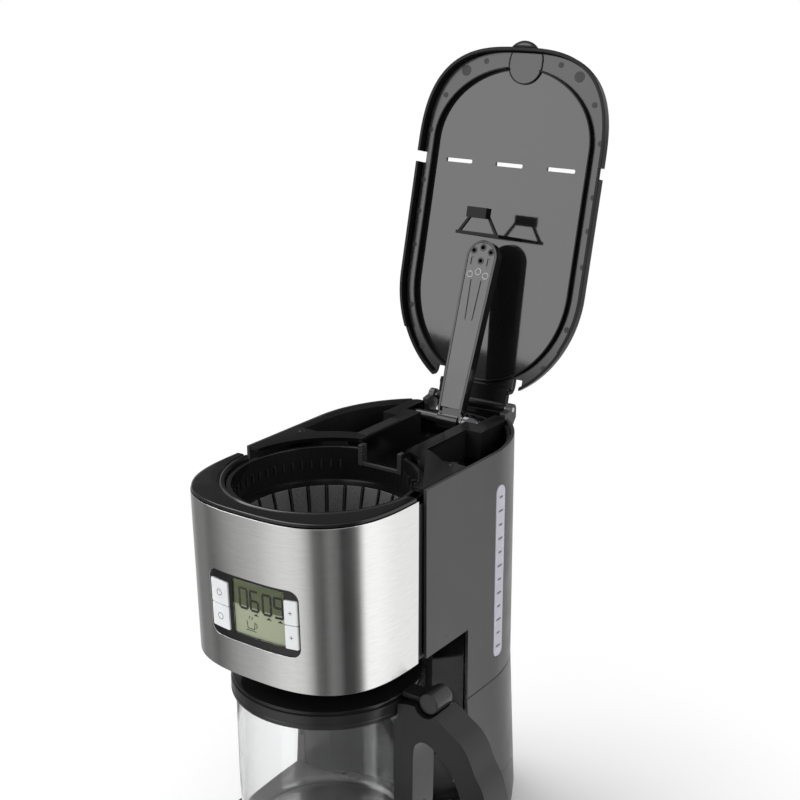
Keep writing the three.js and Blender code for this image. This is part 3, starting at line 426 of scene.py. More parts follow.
def smooth_path(points, steps):
    """A rounder line through the given points."""
    last = len(points) - 1
    out = []
    for i in range(last):
        p = [Vector(points[min(max(i + k, 0), last)]) for k in (-1, 0, 1, 2)]
        for s in range(steps):
            t = s / steps
            q = 0.5 * (2 * p[1] + (p[2] - p[0]) * t + (2 * p[0] - 5 * p[1] + 4 * p[2] - p[3]) * t * t
                       + (3 * p[1] - p[0] - 3 * p[2] + p[3]) * t ** 3)
            out.append(tuple(q))
    return out + [tuple(points[-1])]


def raised(z, profile):
    """A profile of (radius, height) lifted by z."""
    return [(r, z + h) for r, h in profile]


def mesh_of(name, bm):
    mesh = bpy.data.meshes.new(name)
    bm.to_mesh(mesh)
    bm.free()
    return mesh


def in_scene(name, data):
    obj = bpy.data.objects.new(name, data)
    bpy.context.scene.collection.objects.link(obj)
    return obj


def wire(bm, points, closed=True):
    verts = [bm.verts.new(p) for p in points]
    pairs = list(zip(verts, verts[1:]))
    if closed:
        pairs.append((verts[-1], verts[0]))
    return verts, [bm.edges.new(pair) for pair in pairs]


def grow(bm, verts, edges, points):
    """Extrudes a line of vertices and puts the new ones at the given points."""
    made = bmesh.ops.extrude_edge_only(bm, edges=edges)["geom"]
    fresh = [g for g in made if isinstance(g, bmesh.types.BMVert)]
    order = {v: i for i, v in enumerate(verts)}
    placed = [None] * len(verts)
    for v in fresh:
        source = next(e.other_vert(v) for e in v.link_edges if e.other_vert(v) in order)
        placed[order[source]] = v
        v.co = points[order[source]]
    fresh_set = set(fresh)
    fresh_edges = [g for g in made if isinstance(g, bmesh.types.BMEdge)
                   and g.verts[0] in fresh_set and g.verts[1] in fresh_set]
    return placed, fresh_edges


def skin(rings, closed=True, around=True, cap=False):
    """A surface through rings of points. around joins the last ring to the first; cap closes the ends."""
    bm = bmesh.new()
    verts, edges = wire(bm, rings[0], closed)
    first = edges
    for points in rings[1:] + ([rings[0]] if around else []):
        verts, edges = grow(bm, verts, edges, points)
    if around:
        merge(bm)
    if cap:
        bmesh.ops.contextual_create(bm, geom=first)
        bmesh.ops.contextual_create(bm, geom=edges)
    rim = [e for e in bm.edges if e.is_boundary]
    if around and not closed and rim:
        bmesh.ops.holes_fill(bm, edges=rim, sides=0)
    return even_faces(bm)


def solid(rings):
    """A solid through rings of points, with both ends closed."""
    return skin(rings, around=False, cap=True)


def merge(bm, distance=CLOSE):
    bmesh.ops.remove_doubles(bm, verts=bm.verts, dist=distance)


def even_faces(bm):
    merge(bm)
    bmesh.ops.recalc_face_normals(bm, faces=bm.faces)
    return bm


def at(points, z):
    return [(x, y, z) for x, y in points]


def prism(points, a0, a1, axis="Z"):
    """A flat outline pushed along an axis."""
    put = {"X": lambda u, v, a: (a, u, v), "Y": lambda u, v, a: (u, a, v),
           "Z": lambda u, v, a: (u, v, a)}[axis]
    return solid([[put(u, v, a) for u, v in points] for a in (a0, a1)])


def block(x0, x1, y0, y1, z0, z1):
    bm = bmesh.new()
    size = Matrix.Diagonal((x1 - x0, y1 - y0, z1 - z0, 1))
    place = Matrix.Translation(((x0 + x1) / 2, (y0 + y1) / 2, (z0 + z1) / 2))
    bmesh.ops.create_cube(bm, size=1, matrix=place @ size)
    return bm


# What turns an upright part to lie along each axis
LAID = {"X": Matrix.Rotation(math.pi / 2, 4, "Y"), "Y": Matrix.Rotation(-math.pi / 2, 4, "X"),
        "Z": Matrix.Identity(4)}


def laid(bm, axis, place):
    """Lays an upright part along an axis, with its origin at place."""
    bmesh.ops.transform(bm, verts=bm.verts, matrix=Matrix.Translation(place) @ LAID[axis])
    return bm


def rod(r, a0, a1, u, v, axis="X", sides=32, top_r=None):
    """A rod along an axis; u and v are its centre in the other two."""
    bm = bmesh.new()
    mid = (a0 + a1) / 2
    centre = {"X": (mid, u, v), "Y": (u, mid, v), "Z": (u, v, mid)}[axis]
    bmesh.ops.create_cone(bm, cap_ends=True, segments=sides, radius1=r, radius2=top_r or r,
                          depth=a1 - a0, matrix=Matrix.Translation(centre) @ LAID[axis])
    return bm


def ovalled(bm):
    """Narrows a round part to the oval of the filter hole."""
    bmesh.ops.scale(bm, vec=(OVAL, 1, 1), verts=bm.verts)
    return bm


def turned(profile, sides=ROUND, x=0.0, y=0.0):
    """A profile of (radius, z) spun round the Z axis. A profile off the axis is a closed ring."""
    bm = bmesh.new()
    on_axis = profile[0][0] < 1e-6 or profile[-1][0] < 1e-6
    verts, edges = wire(bm, [(r, 0, z) for r, z in profile], closed=not on_axis)
    bmesh.ops.spin(bm, geom=verts + edges, cent=(0, 0, 0), axis=(0, 0, 1), angle=math.tau,
                   steps=sides, use_merge=True)
    even_faces(bm)
    bmesh.ops.translate(bm, vec=(x, y, 0), verts=bm.verts)
    return bm


def join(parts):
    """One mesh of several separate ones."""
    whole = parts[0]
    for part in parts[1:]:
        mesh = mesh_of("joining", part)
        whole.from_mesh(mesh)
        bpy.data.meshes.remove(mesh)
    return whole


def combine(bm, tool, how):
    """Carves, unites or keeps the common part of two closed meshes."""
    whole, cutter = in_scene("whole", mesh_of("whole", bm)), in_scene("tool", mesh_of("tool", tool))
    step = whole.modifiers.new("step", "BOOLEAN")
    step.operation = how
    step.solver = "EXACT"
    step.use_self = False
    step.object = cutter
    bpy.context.view_layer.update()
    result = bmesh.new()
    evaluated = whole.evaluated_get(bpy.context.evaluated_depsgraph_get())
    result.from_mesh(evaluated.to_mesh())
    evaluated.to_mesh_clear()
    for made in (whole, cutter):
        mesh = made.data
        bpy.data.objects.remove(made)
        bpy.data.meshes.remove(mesh)
    if not result.faces:
        raise RuntimeError("a cut left nothing behind")
    merge(result, LOOSE)
    bmesh.ops.dissolve_degenerate(result, edges=result.edges, dist=LOOSE)
    return result


def cut(bm, *tools):
    for tool in tools:
        bm = combine(bm, tool, "DIFFERENCE")
    return bm


def unite(bm, *tools):
    for tool in tools:
        bm = combine(bm, tool, "UNION")
    return bm


def common(bm, tool):
    return combine(bm, tool, "INTERSECT")


def flatten(bm):
    """Merges the triangles of flat faces."""
    bmesh.ops.dissolve_limit(bm, angle_limit=math.radians(0.4), verts=bm.verts, edges=bm.edges,
                             delimit={"NORMAL"})
    return bm


def soften(bm, width, segments=2, angle=28.0):
    """Rounds every edge sharper than the angle."""
    sharp = [e for e in bm.edges if e.is_manifold and e.calc_face_angle(0) > math.radians(angle)]
    bmesh.ops.bevel(bm, geom=sharp, offset=width, offset_type="OFFSET", segments=segments,
                    profile=0.5, affect="EDGES", material=-1, clamp_overlap=True, loop_slide=True)
    return bm


def smoothed(bm, width, segments=2, angle=28.0):
    """A carved mesh with whole flat faces and rounded edges."""
    return soften(flatten(bm), width, segments, angle)


def about(pivot, degrees):
    centre = Vector((0, pivot[1], pivot[2]))
    return (Matrix.Translation(centre) @ Matrix.Rotation(-math.radians(degrees), 4, "X")
            @ Matrix.Translation(-centre))


def finished(name, bm, finish, body, nodes=(), turn=None):
    """Turns a mesh in millimetres into a piece in metres that rides on its body."""
    if turn is not None:
        bmesh.ops.transform(bm, matrix=turn, verts=bm.verts)
    bmesh.ops.scale(bm, vec=(MM, MM, MM), verts=bm.verts)
    mesh = mesh_of(name, bm)
    mesh.shade_smooth()
    mesh.set_sharp_from_angle(angle=math.radians(SHARP_ANGLE))
    obj = in_scene(name, mesh)
    mesh.materials.append(finish_of(finish))
    even = obj.modifiers.new("even_shading", "WEIGHTED_NORMAL")
    even.mode = "FACE_AREA"
    even.weight = 90
    even.keep_sharp = True
    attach(obj, body)
    if nodes:
        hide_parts(*nodes)
    return obj


def refined(name, node_name, finish, body, width, segments=2, angle=28.0):
    """A copy of a CAD node with its edges rounded and its curves shaded smooth."""
    bm = bmesh.new()
    bm.from_mesh(frame["nodes"][node_name].data)
    bmesh.ops.scale(bm, vec=(1 / MM, 1 / MM, 1 / MM), verts=bm.verts)
    merge(bm, LOOSE)
    smoothed(bm, width, segments, angle)
    return finished(name, bm, finish, body, (node_name,))


def keep_node(node_name, finish):
    """A CAD node that stays, with its finish."""
    mesh = frame["nodes"][node_name].data
    if mesh.materials:
        mesh.materials[0] = finish_of(finish)
    else:
        mesh.materials.append(finish_of(finish))


class Builder:
    bl_options = {"REGISTER", "UNDO"}

    def execute(self, context):
        self.build(context)
        return {"FINISHED"}


# ---------------------------------------------------------------- front


def lean(z):
    k = (z - HEAD_BOTTOM) / (STEEL_TOP - HEAD_BOTTOM)
    return STEEL_LEAN[0] + (STEEL_LEAN[1] - STEEL_LEAN[0]) * k


def front_y(x, z, inset):
    """Y of the front cover's face at x and z, moved in by inset."""
    half = STEEL_HALF - inset
    depth = lean(z) - inset
    across = min(abs(x) / half, 1.0)
    return FRONT_CENTRE - depth * (1 - across ** FRONT_POWER) ** (1 / FRONT_POWER)


def steel_ring(z, inset):
    curve = front_curve(STEEL_HALF - inset, lean(z) - inset)
    return at([(curve[0][0], 0)] + curve + [(curve[-1][0], 0)], z)


PANEL_X0, PANEL_X1 = low("control_bezel")[0] - GAP, high("control_bezel")[0] + GAP
PANEL_Z0, PANEL_Z1 = low("control_bezel")[2] - GAP, high("control_bezel")[2] + GAP
PANEL_CORNER = 7.0
BUTTONS = ("power_button", "program_button", "hour_button", "minute_button")


def side_box(node):
    a, b = low(node), high(node)
    return a[0], b[0], a[2], b[2]


def panel_outline(shrink):
    return rounded(PANEL_X0 + shrink, PANEL_X1 - shrink, PANEL_Z0 + shrink, PANEL_Z1 - shrink,
                   PANEL_CORNER - shrink)


def wrap_to_front(bm, step=3.0):
    """Bends a flat piece, whose Y is its depth behind the steel face, round the front."""
    xs = [v.co.x for v in bm.verts]
    x = math.ceil(min(xs) / step) * step
    while x < max(xs):
        geom = bm.verts[:] + bm.edges[:] + bm.faces[:]
        bmesh.ops.bisect_plane(bm, geom=geom, plane_co=(x, 0, 0), plane_no=(1, 0, 0), dist=0.01)
        x += step
    for v in bm.verts:
        v.co.y = front_y(v.co.x, v.co.z, v.co.y)
    return bm


def plate_on_front(points, y0, y1):
    return prism(points, y0, y1, "Y")


class COFFEE_OT_steel_cover(Builder, bpy.types.Operator):
    """Brushed steel cover round the front of the brewing head"""
    bl_idname = "coffee.steel_cover"
    bl_label = "Steel cover"

    def build(self, context):
        rings = [steel_ring(HEAD_BOTTOM, 0), steel_ring(STEEL_TOP, 0),
                 steel_ring(STEEL_TOP, 1), steel_ring(HEAD_BOTTOM, 1)]
        bm = skin(rings, closed=False)
        bm = cut(bm, prism(panel_outline(0), -120, -40, "Y"))
        smoothed(bm, 0.3, 3, 50)
        obj = finished("steel_cover", bm, "steel", "machine", ("steel_front_cover",))
        layer = obj.data.uv_layers.new(name="along")
        for loop in obj.data.loops:
            co = obj.data.vertices[loop.vertex_index].co
            around = math.atan2(co.x, -(co.y - 0.02))
            layer.data[loop.index].uv = (co.z, around * 0.08)


def bar(u0, v0, u1, v1, w):
    """A thin straight mark from one point to another."""
    d = Vector((u1 - u0, v1 - v0)).normalized()
    n = Vector((-d.y, d.x)) * w / 2
    return [(u0 - n.x, v0 - n.y), (u1 - n.x, v1 - n.y), (u1 + n.x, v1 + n.y), (u0 + n.x, v0 + n.y)]


def arc_band(cx, cz, r, w, a0, a1, steps=24):
    """A curved mark of width w round a centre, from angle a0 to a1."""
    turns = [math.radians(a0 + (a1 - a0) * i / steps) for i in range(steps + 1)]
    edges = ((r + w / 2, turns), (r - w / 2, turns[::-1]))
    return [(cx + edge * math.cos(t), cz + edge * math.sin(t)) for edge, along in edges for t in along]


SEGMENTS = {0: "abcdef", 6: "acdefg", 9: "abcdfg"}
# The cup's sides, bottom, saucer and two wisps of steam: ends from the cup's middle, and width
CUP_BARS = ((-3.4, 2.4, -2.8, -3.0, 0.5), (2.8, -3.0, 3.4, 2.4, 0.5), (-2.9, -3.0, 2.9, -3.0, 0.5),
            (-4.2, -4.4, 4.2, -4.4, 0.5), (-1.6, 3.8, -0.8, 6.2, 0.45), (0.8, 3.8, 1.6, 6.2, 0.45))


def digit(value, x, z, w, h, t):
    """Outlines of a seven-segment digit whose lower left corner is x, z."""
    g = 0.22
    m = z + h / 2
    spots = {
        "a": (x + g, z + h, x + w - g, z + h), "g": (x + g, m, x + w - g, m), "d": (x + g, z, x + w - g, z),
        "f": (x, m + g, x, z + h - g), "b": (x + w, m + g, x + w, z + h - g),
        "e": (x, z + g, x, m - g), "c": (x + w, z + g, x + w, m - g),
    }
    return [bar(*spots[s], t) for s in SEGMENTS[value]]


def marks_on_front(shapes, y0, y1):
    return wrap_to_front(join([plate_on_front(s, y0, y1) for s in shapes]))


class COFFEE_OT_controls(Builder, bpy.types.Operator):
    """Bezel, four push buttons, display and its digits"""
    bl_idname = "coffee.controls"
    bl_label = "Controls"

    def build(self, context):
        window = side_box("lcd_display")
        bezel = plate_on_front(panel_outline(GAP), 0.75, 4)
        holes = [rounded(a - GAP, b + GAP, c - GAP, d + GAP, 0.8, 3)
                 for a, b, c, d in [side_box(n) for n in BUTTONS] + [window]]
        bezel = cut(bezel, *[prism(h, -5, 10, "Y") for h in holes])
        smoothed(bezel, 0.35, 2, 50)
        wrap_to_front(bezel)
        finished("control_bezel_moulding", bezel, "gloss_black", "machine", ("control_bezel",))
        for name in BUTTONS:
            self.button(name)
        face = wrap_to_front(plate_on_front(rounded(*window, 0.8, 3), 2.4, 3.4), 2.0)
        finished("display_face", face, "lcd", "machine", ("lcd_display",))
        lens = soften(plate_on_front(rounded(*window, 0.8, 3), 1.0, 1.7), 0.15, 2, 50)
        finished("display_window", wrap_to_front(lens, 2.0), "lens", "machine", ("display_lens",))
        self.display_marks(window)

    def button(self, name):
        bm = soften(plate_on_front(rounded(*side_box(name), 0.8, 3), -0.5, 4.5), 0.55, 3, 50)
        finished(name + "_cap", wrap_to_front(bm), "silver", name, (name,))
        cx, _, cz = middle(name)
        across = bar(cx - 1.4, cz, cx + 1.4, cz, 0.4)
        shapes = {
            "power_button": [arc_band(cx, cz, 2.2, 0.42, 118, 422), bar(cx, cz + 0.4, cx, cz + 3.0, 0.42)],
            "program_button": [arc_band(cx, cz, 2.3, 0.42, 0, 359)],
            "hour_button": [across, bar(cx, cz - 1.4, cx, cz + 1.4, 0.4)],
            "minute_button": [across, bar(cx, cz - 1.4, cx, cz - 0.2, 0.4),
                              bar(cx, cz + 0.2, cx, cz + 1.4, 0.4)],
        }[name]
        icon = marks_on_front(shapes, -0.53, -0.42)
        finished(name + "_icon", icon, "ink", name, ())

    def display_marks(self, window):
        x0, _, z0, z1 = window
        base = z1 - 20.2
        shapes = []
        for value, x in ((0, x0 + 5.0), (6, x0 + 14.2), (0, x0 + 24.6), (9, x0 + 33.8)):
            shapes += digit(value, x, base, 6.4, 14.2, 1.7)
        for x in (x0 + 16.2, x0 + 26.8, x0 + 35.6):
            shapes.append([(x, base - 3.4), (x + 4.4, base - 3.4), (x + 2.2, base - 1.7)])
        cx, cz = x0 + 13.5, z0 + 8.4
        shapes += [bar(cx + u0, cz + v0, cx + u1, cz + v1, w) for u0, v0, u1, v1, w in CUP_BARS]
        shapes.append(arc_band(cx + 3.5, cz, 1.7, 0.5, -80, 80, 10))
        digits = marks_on_front(shapes, 2.26, 2.42)
        finished("display_digits", digits, "ink", "machine", ())


# ---------------------------------------------------------------- head and deck


class COFFEE_OT_top_ring(Builder, bpy.types.Operator):
    """Gloss ring round the filter hole, with a stepped inner rim"""
    bl_idname = "coffee.top_ring"
    bl_label = "Top ring"

    def build(self, context):
        half, depth = 77.2, 82.6
        z0, z1 = STEEL_TOP + GAP, RING_TOP

        def outer(inset, z):
            curve = front_curve(half - inset, depth - inset)
            return at([(curve[0][0], -2)] + curve + [(curve[-1][0], -2)], z)

        count = CURVE + 3
        sweep = [math.pi * (1 + i / (count - 1)) for i in range(count)]

        def inner(r, z):
            return [(r * OVAL * math.cos(t), min(-2.0, r * math.sin(t)), z) for t in sweep]

        rings = [outer(0.9, z0), outer(0, z0 + 0.5)]
        rings += [outer(d, z1 - h) for d, h in ((0, 0.9), (0.25, 0.35), (0.9, 0.05), (1.8, 0))]
        rings += [inner(r, z1 - h) for r, h in (
            (75.6, 0), (75.0, 0.15), (74.7, 0.7), (73.9, 0.9), (73.4, 0.55), (72.9, 0.15), (72.2, 0),
            (71.2, 0.15), (70.4, 0.7), (70.0, 1.6), (70.0, 6.2), (70.4, 6.8), (73.0, 6.8))]
        rings.append(inner(73.0, z0))
        bm = skin(rings, closed=False)
        soften(bm, 0.2, 1, 60)
        finished("top_ring_moulding", bm, "gloss_black", "machine", ("top_ring",))


def housing_plan(z, inset):
    g = max(0.0, (RING_TOP - z) / 177)
    return plan(HALF_WIDTH + g - inset, 82 - inset, REAR_DEPTH + g - inset)


def gauge_box():
    a, b = low("level_window"), high("level_window")
    return a[1], b[1], a[2], b[2]


class COFFEE_OT_tank_housing(Builder, bpy.types.Operator):
    """Rear housing with its two side walls and the lid's hinge lugs"""
    bl_idname = "coffee.tank_housing"
    bl_label = "Tank housing"

    def build(self, context):
        top = high("top_deck")[2]
        wall = 2.4
        levels = [(SEAM + 0.4, 0.35), (SEAM + 0.9, 0), (220, 0),
                  (top - 0.6, 0), (top - 0.15, 0.2), (top, 0.6)]
        rings = [at(housing_plan(z, d), z) for z, d in levels]
        rings = [at(housing_plan(SEAM, 0.8), SEAM)] + rings
        rings += [at(housing_plan(z, wall), z) for z in (top, SEAM)]
        bm = skin(rings)
        y0, y1, z0, z1 = gauge_box()
        slot = prism(rounded(y0 - GAP, y1 + GAP, z0 - GAP, z1 + GAP, 6.2), 60, 90, "X")
        bm = cut(bm, block(-FAR, FAR, -FAR, HOUSING_FRONT, HEAD_BOTTOM, ABOVE),
                 block(-FAR, FAR, -FAR, COLUMN_FRONT, 0, HEAD_BOTTOM + 0.01), slot,
                 block(-44, 44, 160, 210, RING_TOP - 1.5, ABOVE),
                 block(-31.5, 31.5, 168, 210, RING_TOP - 7, ABOVE))
        smoothed(bm, 0.45, 3, 50)
        finished("tank_housing_moulding", bm, "side_grey", "machine", ("tank_housing",))
        for side in (-1, 1):
            self.lug(side)
        _, y, z = LID_PIVOT
        wall = soften(block(-31, 31, y - 1.6, y + 0.8, RING_TOP - 9, z - 4.4), 0.4, 2, 40)
        finished("hinge_back_wall", wall, "deck_black", "machine", ())

    def lug(self, side):
        _, y, z = LID_PIVOT
        r = 4.6
        turns = [math.radians(a) for a in range(-10, 171, 15)]
        shape = [(175, RING_TOP - 13), (184.6, RING_TOP - 13), (y + r, RING_TOP - 4)]
        shape += [(y + r * math.cos(t), z + r * math.sin(t)) for t in turns]
        shape.append((175, RING_TOP + 2))
        x0, x1 = sorted((33 * side, 38 * side))
        bm = prism(shape, x0, x1, "X")
        bm = cut(bm, rod(2.4, -45, 45, y, z))
        smoothed(bm, 0.4, 2, 40)
        name = "hinge_lug_left" if side < 0 else "hinge_lug_right"
        finished(name, bm, "side_grey", "machine", ())


class COFFEE_OT_gauge(Builder, bpy.types.Operator):
    """Water level window with its marks"""
    bl_idname = "coffee.gauge"
    bl_label = "Level window"

    def build(self, context):
        y0, y1, z0, z1 = gauge_box()
        x0, x1 = low("level_window")[0], high("level_window")[0]
        bm = soften(prism(rounded(y0, y1, z0, z1, 5.9, 12), x0, x1, "X"), 0.8, 4, 50)
        finished("level_window_strip", bm, "gauge", "machine", ("level_window",))
        count = context.scene.coffee_sizes.gauge_marks
        mid = middle("level_window")[1]
        step = (z1 - z0 - 18) / (count - 1)
        marks = []
        for i in range(count):
            z = z0 + 9 + step * i
            half = 2.9 if i % 2 == 0 else 2.1
            mark = rounded(mid - half, mid + half, z - 0.8, z + 0.8, 0.3, 3)
            marks.append(prism(mark, x1 - 0.2, x1 + 0.06, "X"))
        finished("level_marks", join(marks), "mark", "machine", ())


class COFFEE_OT_deck(Builder, bpy.types.Operator):
    """Deck behind the basket with the arm's channel and the pivot block"""
    bl_idname = "coffee.deck"
    bl_label = "Deck"

    def build(self, context):
        bottom, top = low("top_deck")[2], high("top_deck")[2]
        x = ARM_X
        body = unite(block(-80, 80, HOUSING_FRONT, COLUMN_FRONT + 0.5, RING_TOP - 0.5, top),
                     cut(rod(83, RING_TOP - 0.5, top, 0, 0, "Z", ROUND), block(-90, 90, -90, 20, 200, ABOVE)),
                     block(x - 31, x + 31, 66, 130, bottom, top),
                     block(x - 44, x + 44, 128, 179, bottom, top))
        body = common(body, prism(plan(74.4, 80, REAR_DEPTH - 3), bottom - 1, top + 1))
        room = ovalled(rod(72.8, bottom - 1, RING_TOP - 0.6, 0, 0, "Z", ROUND))
        hole = ovalled(rod(HOLE_R, bottom - 1, top + 3, 0, 0, "Z", ROUND))
        body = cut(body, room, hole, block(x - 20, x + 20, 40, 150, bottom + 3, top + 1),
                   block(x - 34, x + 30, 144, 174, bottom + 2.4, top + 1),
                   block(-60, 60, 169.5, 200, RING_TOP - 7, top + 1),
                   rod(4.3, x - 41, x, ARM_PIVOT[1], ARM_PIVOT[2]))
        smoothed(body, 0.6, 3, 35)
        # The deck_black finish paints highlights along the deck's edges
        finished("deck_moulding", body, "deck_black", "machine", ("top_deck",))
        self.trim(top)

    def trim(self, top):
        bosses = [rod(3.4, top - 0.2, top + 0.5, u, v, "Z", 32, 3.0) for u, v in ((-66, 58), (64.5, 61))]
        finished("deck_bosses", join(bosses), "deck_black", "machine", ())
        x = ARM_X
        strip = soften(block(x - 30.2, x - 21.4, 76, 118, top - 0.1, top + 0.55), 0.25, 2, 40)
        finished("channel_cap_left", strip, "shelf_grey", "machine", ())


class COFFEE_OT_head(Builder, bpy.types.Operator):
    """Black inner head that holds the basket, and the water tank behind it"""
    bl_idname = "coffee.head"
    bl_label = "Brewing head"

    def build(self, context):
        refined("head_moulding", "brew_head_shell", "satin_black", "machine", 0.3, 2, 40)
        refined("well_moulding", "basket_well", "satin_black", "machine", 0.3, 2, 40)
        keep_node("water_tank", "satin_black")


# ---------------------------------------------------------------- base


BASE_FLARE = ((0, 3.4), (4, 5.4), (15, 6.2), (45, 4.9), (85, 3.0), (128, 1.0))


def flare(z):
    for (za, fa), (zb, fb) in zip(BASE_FLARE, BASE_FLARE[1:]):
        if z <= zb:
            return fa + (fb - fa) * (z - za) / (zb - za)
    return BASE_FLARE[-1][1]


def base_plan(z, inset):
    f = flare(max(z, 0)) - inset
    return plan(HALF_WIDTH + f, FRONT_DEPTH + f, REAR_DEPTH + f)


def tray_side(shift):
    """The tray's side view: its top rear corner is rounded."""
    r, rear, top = 8.0, high("base_tray")[1] + shift, TRAY_SIDE_TOP + shift
    points = [(-150, -10), (rear, -10)]
    points += [(rear - r + r * math.cos(t), top - r + r * math.sin(t))
               for t in [math.pi * i / 24 for i in range(13)]]
    return points + [(COLUMN_FRONT, top), (COLUMN_FRONT, PLATFORM + shift), (-150, PLATFORM + shift)]


class COFFEE_OT_base(Builder, bpy.types.Operator):
    """Base housing, tray, column front and bottom cover"""
    bl_idname = "coffee.base"
    bl_label = "Base"

    def build(self, context):
        top = high("base_housing")[2]
        levels = [0, 1.5, 4, 9, 15, 30, 45, 65, 85, 106, top - 0.6]
        rings = [at(base_plan(z, 0), z) for z in levels] + [at(base_plan(top, 0.5), top)]
        rings += [at(base_plan(z, 2.6), z) for z in (top, 85, 45, 15, 4, 0)]
        bm = cut(skin(rings), block(-FAR, FAR, -FAR, COLUMN_FRONT, -10, ABOVE),
                 prism(tray_side(GAP), -150, 150, "X"), rod(8.3, 150, 220, 0, GLAND_Z, "Y", 48))
        smoothed(bm, 0.45, 3, 45)
        finished("base_housing_moulding", bm, "side_grey", "machine", ("base_housing",))
        self.tray()
        self.column()
        refined("bottom_plate", "bottom_cover", "satin_black", "machine", 0.3, 2, 50)

    def tray(self):
        """Low in front, with side walls that rise beside the column."""

        def level(z, inset=0.0):
            return at(base_plan(z, inset), z)

        rise = (0, 1.5, 4, 9, 15)
        edge = ((2.2, 0), (1.3, 0.25), (0.4, 1.0), (0, 2.2))
        front = solid([level(z) for z in rise] + [level(PLATFORM - drop, inset) for drop, inset in edge])
        front = cut(front, block(-150, 150, COLUMN_FRONT, 300, -5, PLATFORM + 1))
        back = solid([level(z) for z in (*rise, 30, TRAY_SIDE_TOP)])
        back = cut(back, block(-150, 150, -FAR, COLUMN_FRONT, -5, FAR))
        hollow = solid([level(z, 2.6) for z in (-1, 4, 15, PLATFORM - 2.6)])
        high_hollow = solid([level(z, 2.6) for z in (-1, 15, TRAY_SIDE_TOP - 2.6)])
        high_hollow = cut(high_hollow, block(-150, 150, -FAR, COLUMN_FRONT + 2.4, -5, FAR))
        bm = cut(unite(front, back), hollow, high_hollow,
                 block(-73.5, 73.5, COLUMN_FRONT + 1, 210, -5, TRAY_SIDE_TOP + 1),
                 block(-75.2, 75.2, COLUMN_FRONT - 1, COLUMN_FRONT + 2.6, PLATFORM, TRAY_SIDE_TOP + 1))
        bm = common(bm, prism(tray_side(0), -150, 150, "X"))
        bm = cut(bm, rod(63.9, 5, 60, 0, 0, "Z", ROUND))
        smoothed(bm, 0.5, 3, 40)
        finished("tray_moulding", bm, "side_grey", "machine", ("base_tray",))

    def column(self):
        z0, z1 = low("column_front_panel")[2], high("column_front_panel")[2]
        r, wall, edge, thick, steps = 78.0, 2.4, 74.9, 2.3, 48
        half = math.asin(48 / r)
        sweep = [-half + 2 * half * i / steps for i in range(steps + 1)]
        front = [(r * math.sin(t), r * math.cos(t) + 0.5) for t in sweep]
        back = [((r + wall) * math.sin(t), (r + wall) * math.cos(t) + 0.5) for t in reversed(sweep)]
        points = [(-edge, COLUMN_FRONT)] + front + [(edge, COLUMN_FRONT), (edge, COLUMN_FRONT + thick)]
        points += back + [(-edge, COLUMN_FRONT + thick)]
        bm = soften(prism(points, z0, z1), 0.4, 2, 30)
        finished("column_front", bm, "gloss_black", "machine", ("column_front_panel",))


class COFFEE_OT_hot_plate(Builder, bpy.types.Operator):
    """Warming plate with its seal, and the parts below it"""
    bl_idname = "coffee.hot_plate"
    bl_label = "Hot plate"

    def build(self, context):
        z1 = high("hot_plate")[2]
        z0 = low("hot_plate")[2]
        plate = turned([(0, z0), (60.2, z0), (60.9, z0 + 0.5), (60.9, z1 - 0.5), (60.4, z1), (57.2, z1),
                        (56.2, z1 - 0.5), (20, z1 - 0.5), (18.6, z1 - 0.2), (0, z1 - 0.2)])
        finished("warming_plate", plate, "dark_plate", "machine", ("hot_plate",))
        r0, r1 = z0 - 0.4, z1 - 0.3
        seal = turned([(61.4, r0), (63.3, r0), (63.5, r0 + 0.4),
                       (63.4, r1 - 0.6), (62.6, r1), (61.6, r1 - 0.5)])
        finished("plate_seal", seal, "rubber", "machine", ("hot_plate_ring",))
        for node, finish in (("heating_element", "aluminium"), ("thermostat", "aluminium"),
                             ("thermal_fuse", "aluminium"), ("tank_strainer", "aluminium"),
                             ("inlet_hose", "hose"), ("check_valve", "silver"), ("riser_tube", "hose"),
                             ("circuit_board", "board")):
            keep_node(node, finish)


class COFFEE_OT_underside(Builder, bpy.types.Operator):
    """Feet, bottom screws and the cord gland"""
    bl_idname = "coffee.underside"
    bl_label = "Underside"

    def build(self, context):
        for i in range(1, 5):
            foot, screw = f"foot_{i}", f"bottom_screw_{i}"
            x, y, _ = middle(foot)
            bm = turned([(0, -3), (6.6, -3), (7.4, -2.8), (7.9, -2.2), (8, -0.8), (7.6, -0.3), (2.5, -0.3),
                         (2.4, 3.6), (2.0, 4), (0, 4)], 48, x, y)
            finished(foot + "_pad", bm, "rubber", "machine", (foot,))
            x, y, _ = middle(screw)
            head = turned([(0, 0.5), (1.6, 0.35), (2.6, 0.5), (2.9, 0.9), (2.8, 1.6), (1.4, 2.4), (1.4, 9.6),
                           (0.9, 10), (0, 10)], 32, x, y)
            head = cut(head, block(x - 1.7, x + 1.7, y - 0.25, y + 0.25, -1, 1.1),
                       block(x - 0.25, x + 0.25, y - 1.7, y + 1.7, -1, 1.1))
            finished(screw + "_head", head, "aluminium", "machine", (screw,))
        y0, y1 = low("cord_gland")[1], high("cord_gland")[1]
        profile = [(3.6, y0), (7.7, y0), (8, y0 + 0.4), (8, y0 + 5.5), (7.0, y0 + 5.9), (7.0, y0 + 6.9),
                   (7.6, y0 + 7.3), (7.4, y1 - 3.6), (6.4, y1 - 3.2), (6.4, y1 - 2.2), (7.0, y1 - 1.9),
                   (6.6, y1 - 0.3), (6.2, y1), (3.6, y1)]
        bm = laid(turned(profile, 48), "Y", (0, 0, GLAND_Z))
        finished("gland_sleeve", bm, "rubber", "machine", ("cord_gland",))


# ---------------------------------------------------------------- lid


def lid_plan(inset):
    return plan(81.8 - inset, 84 - inset, 89 - inset)


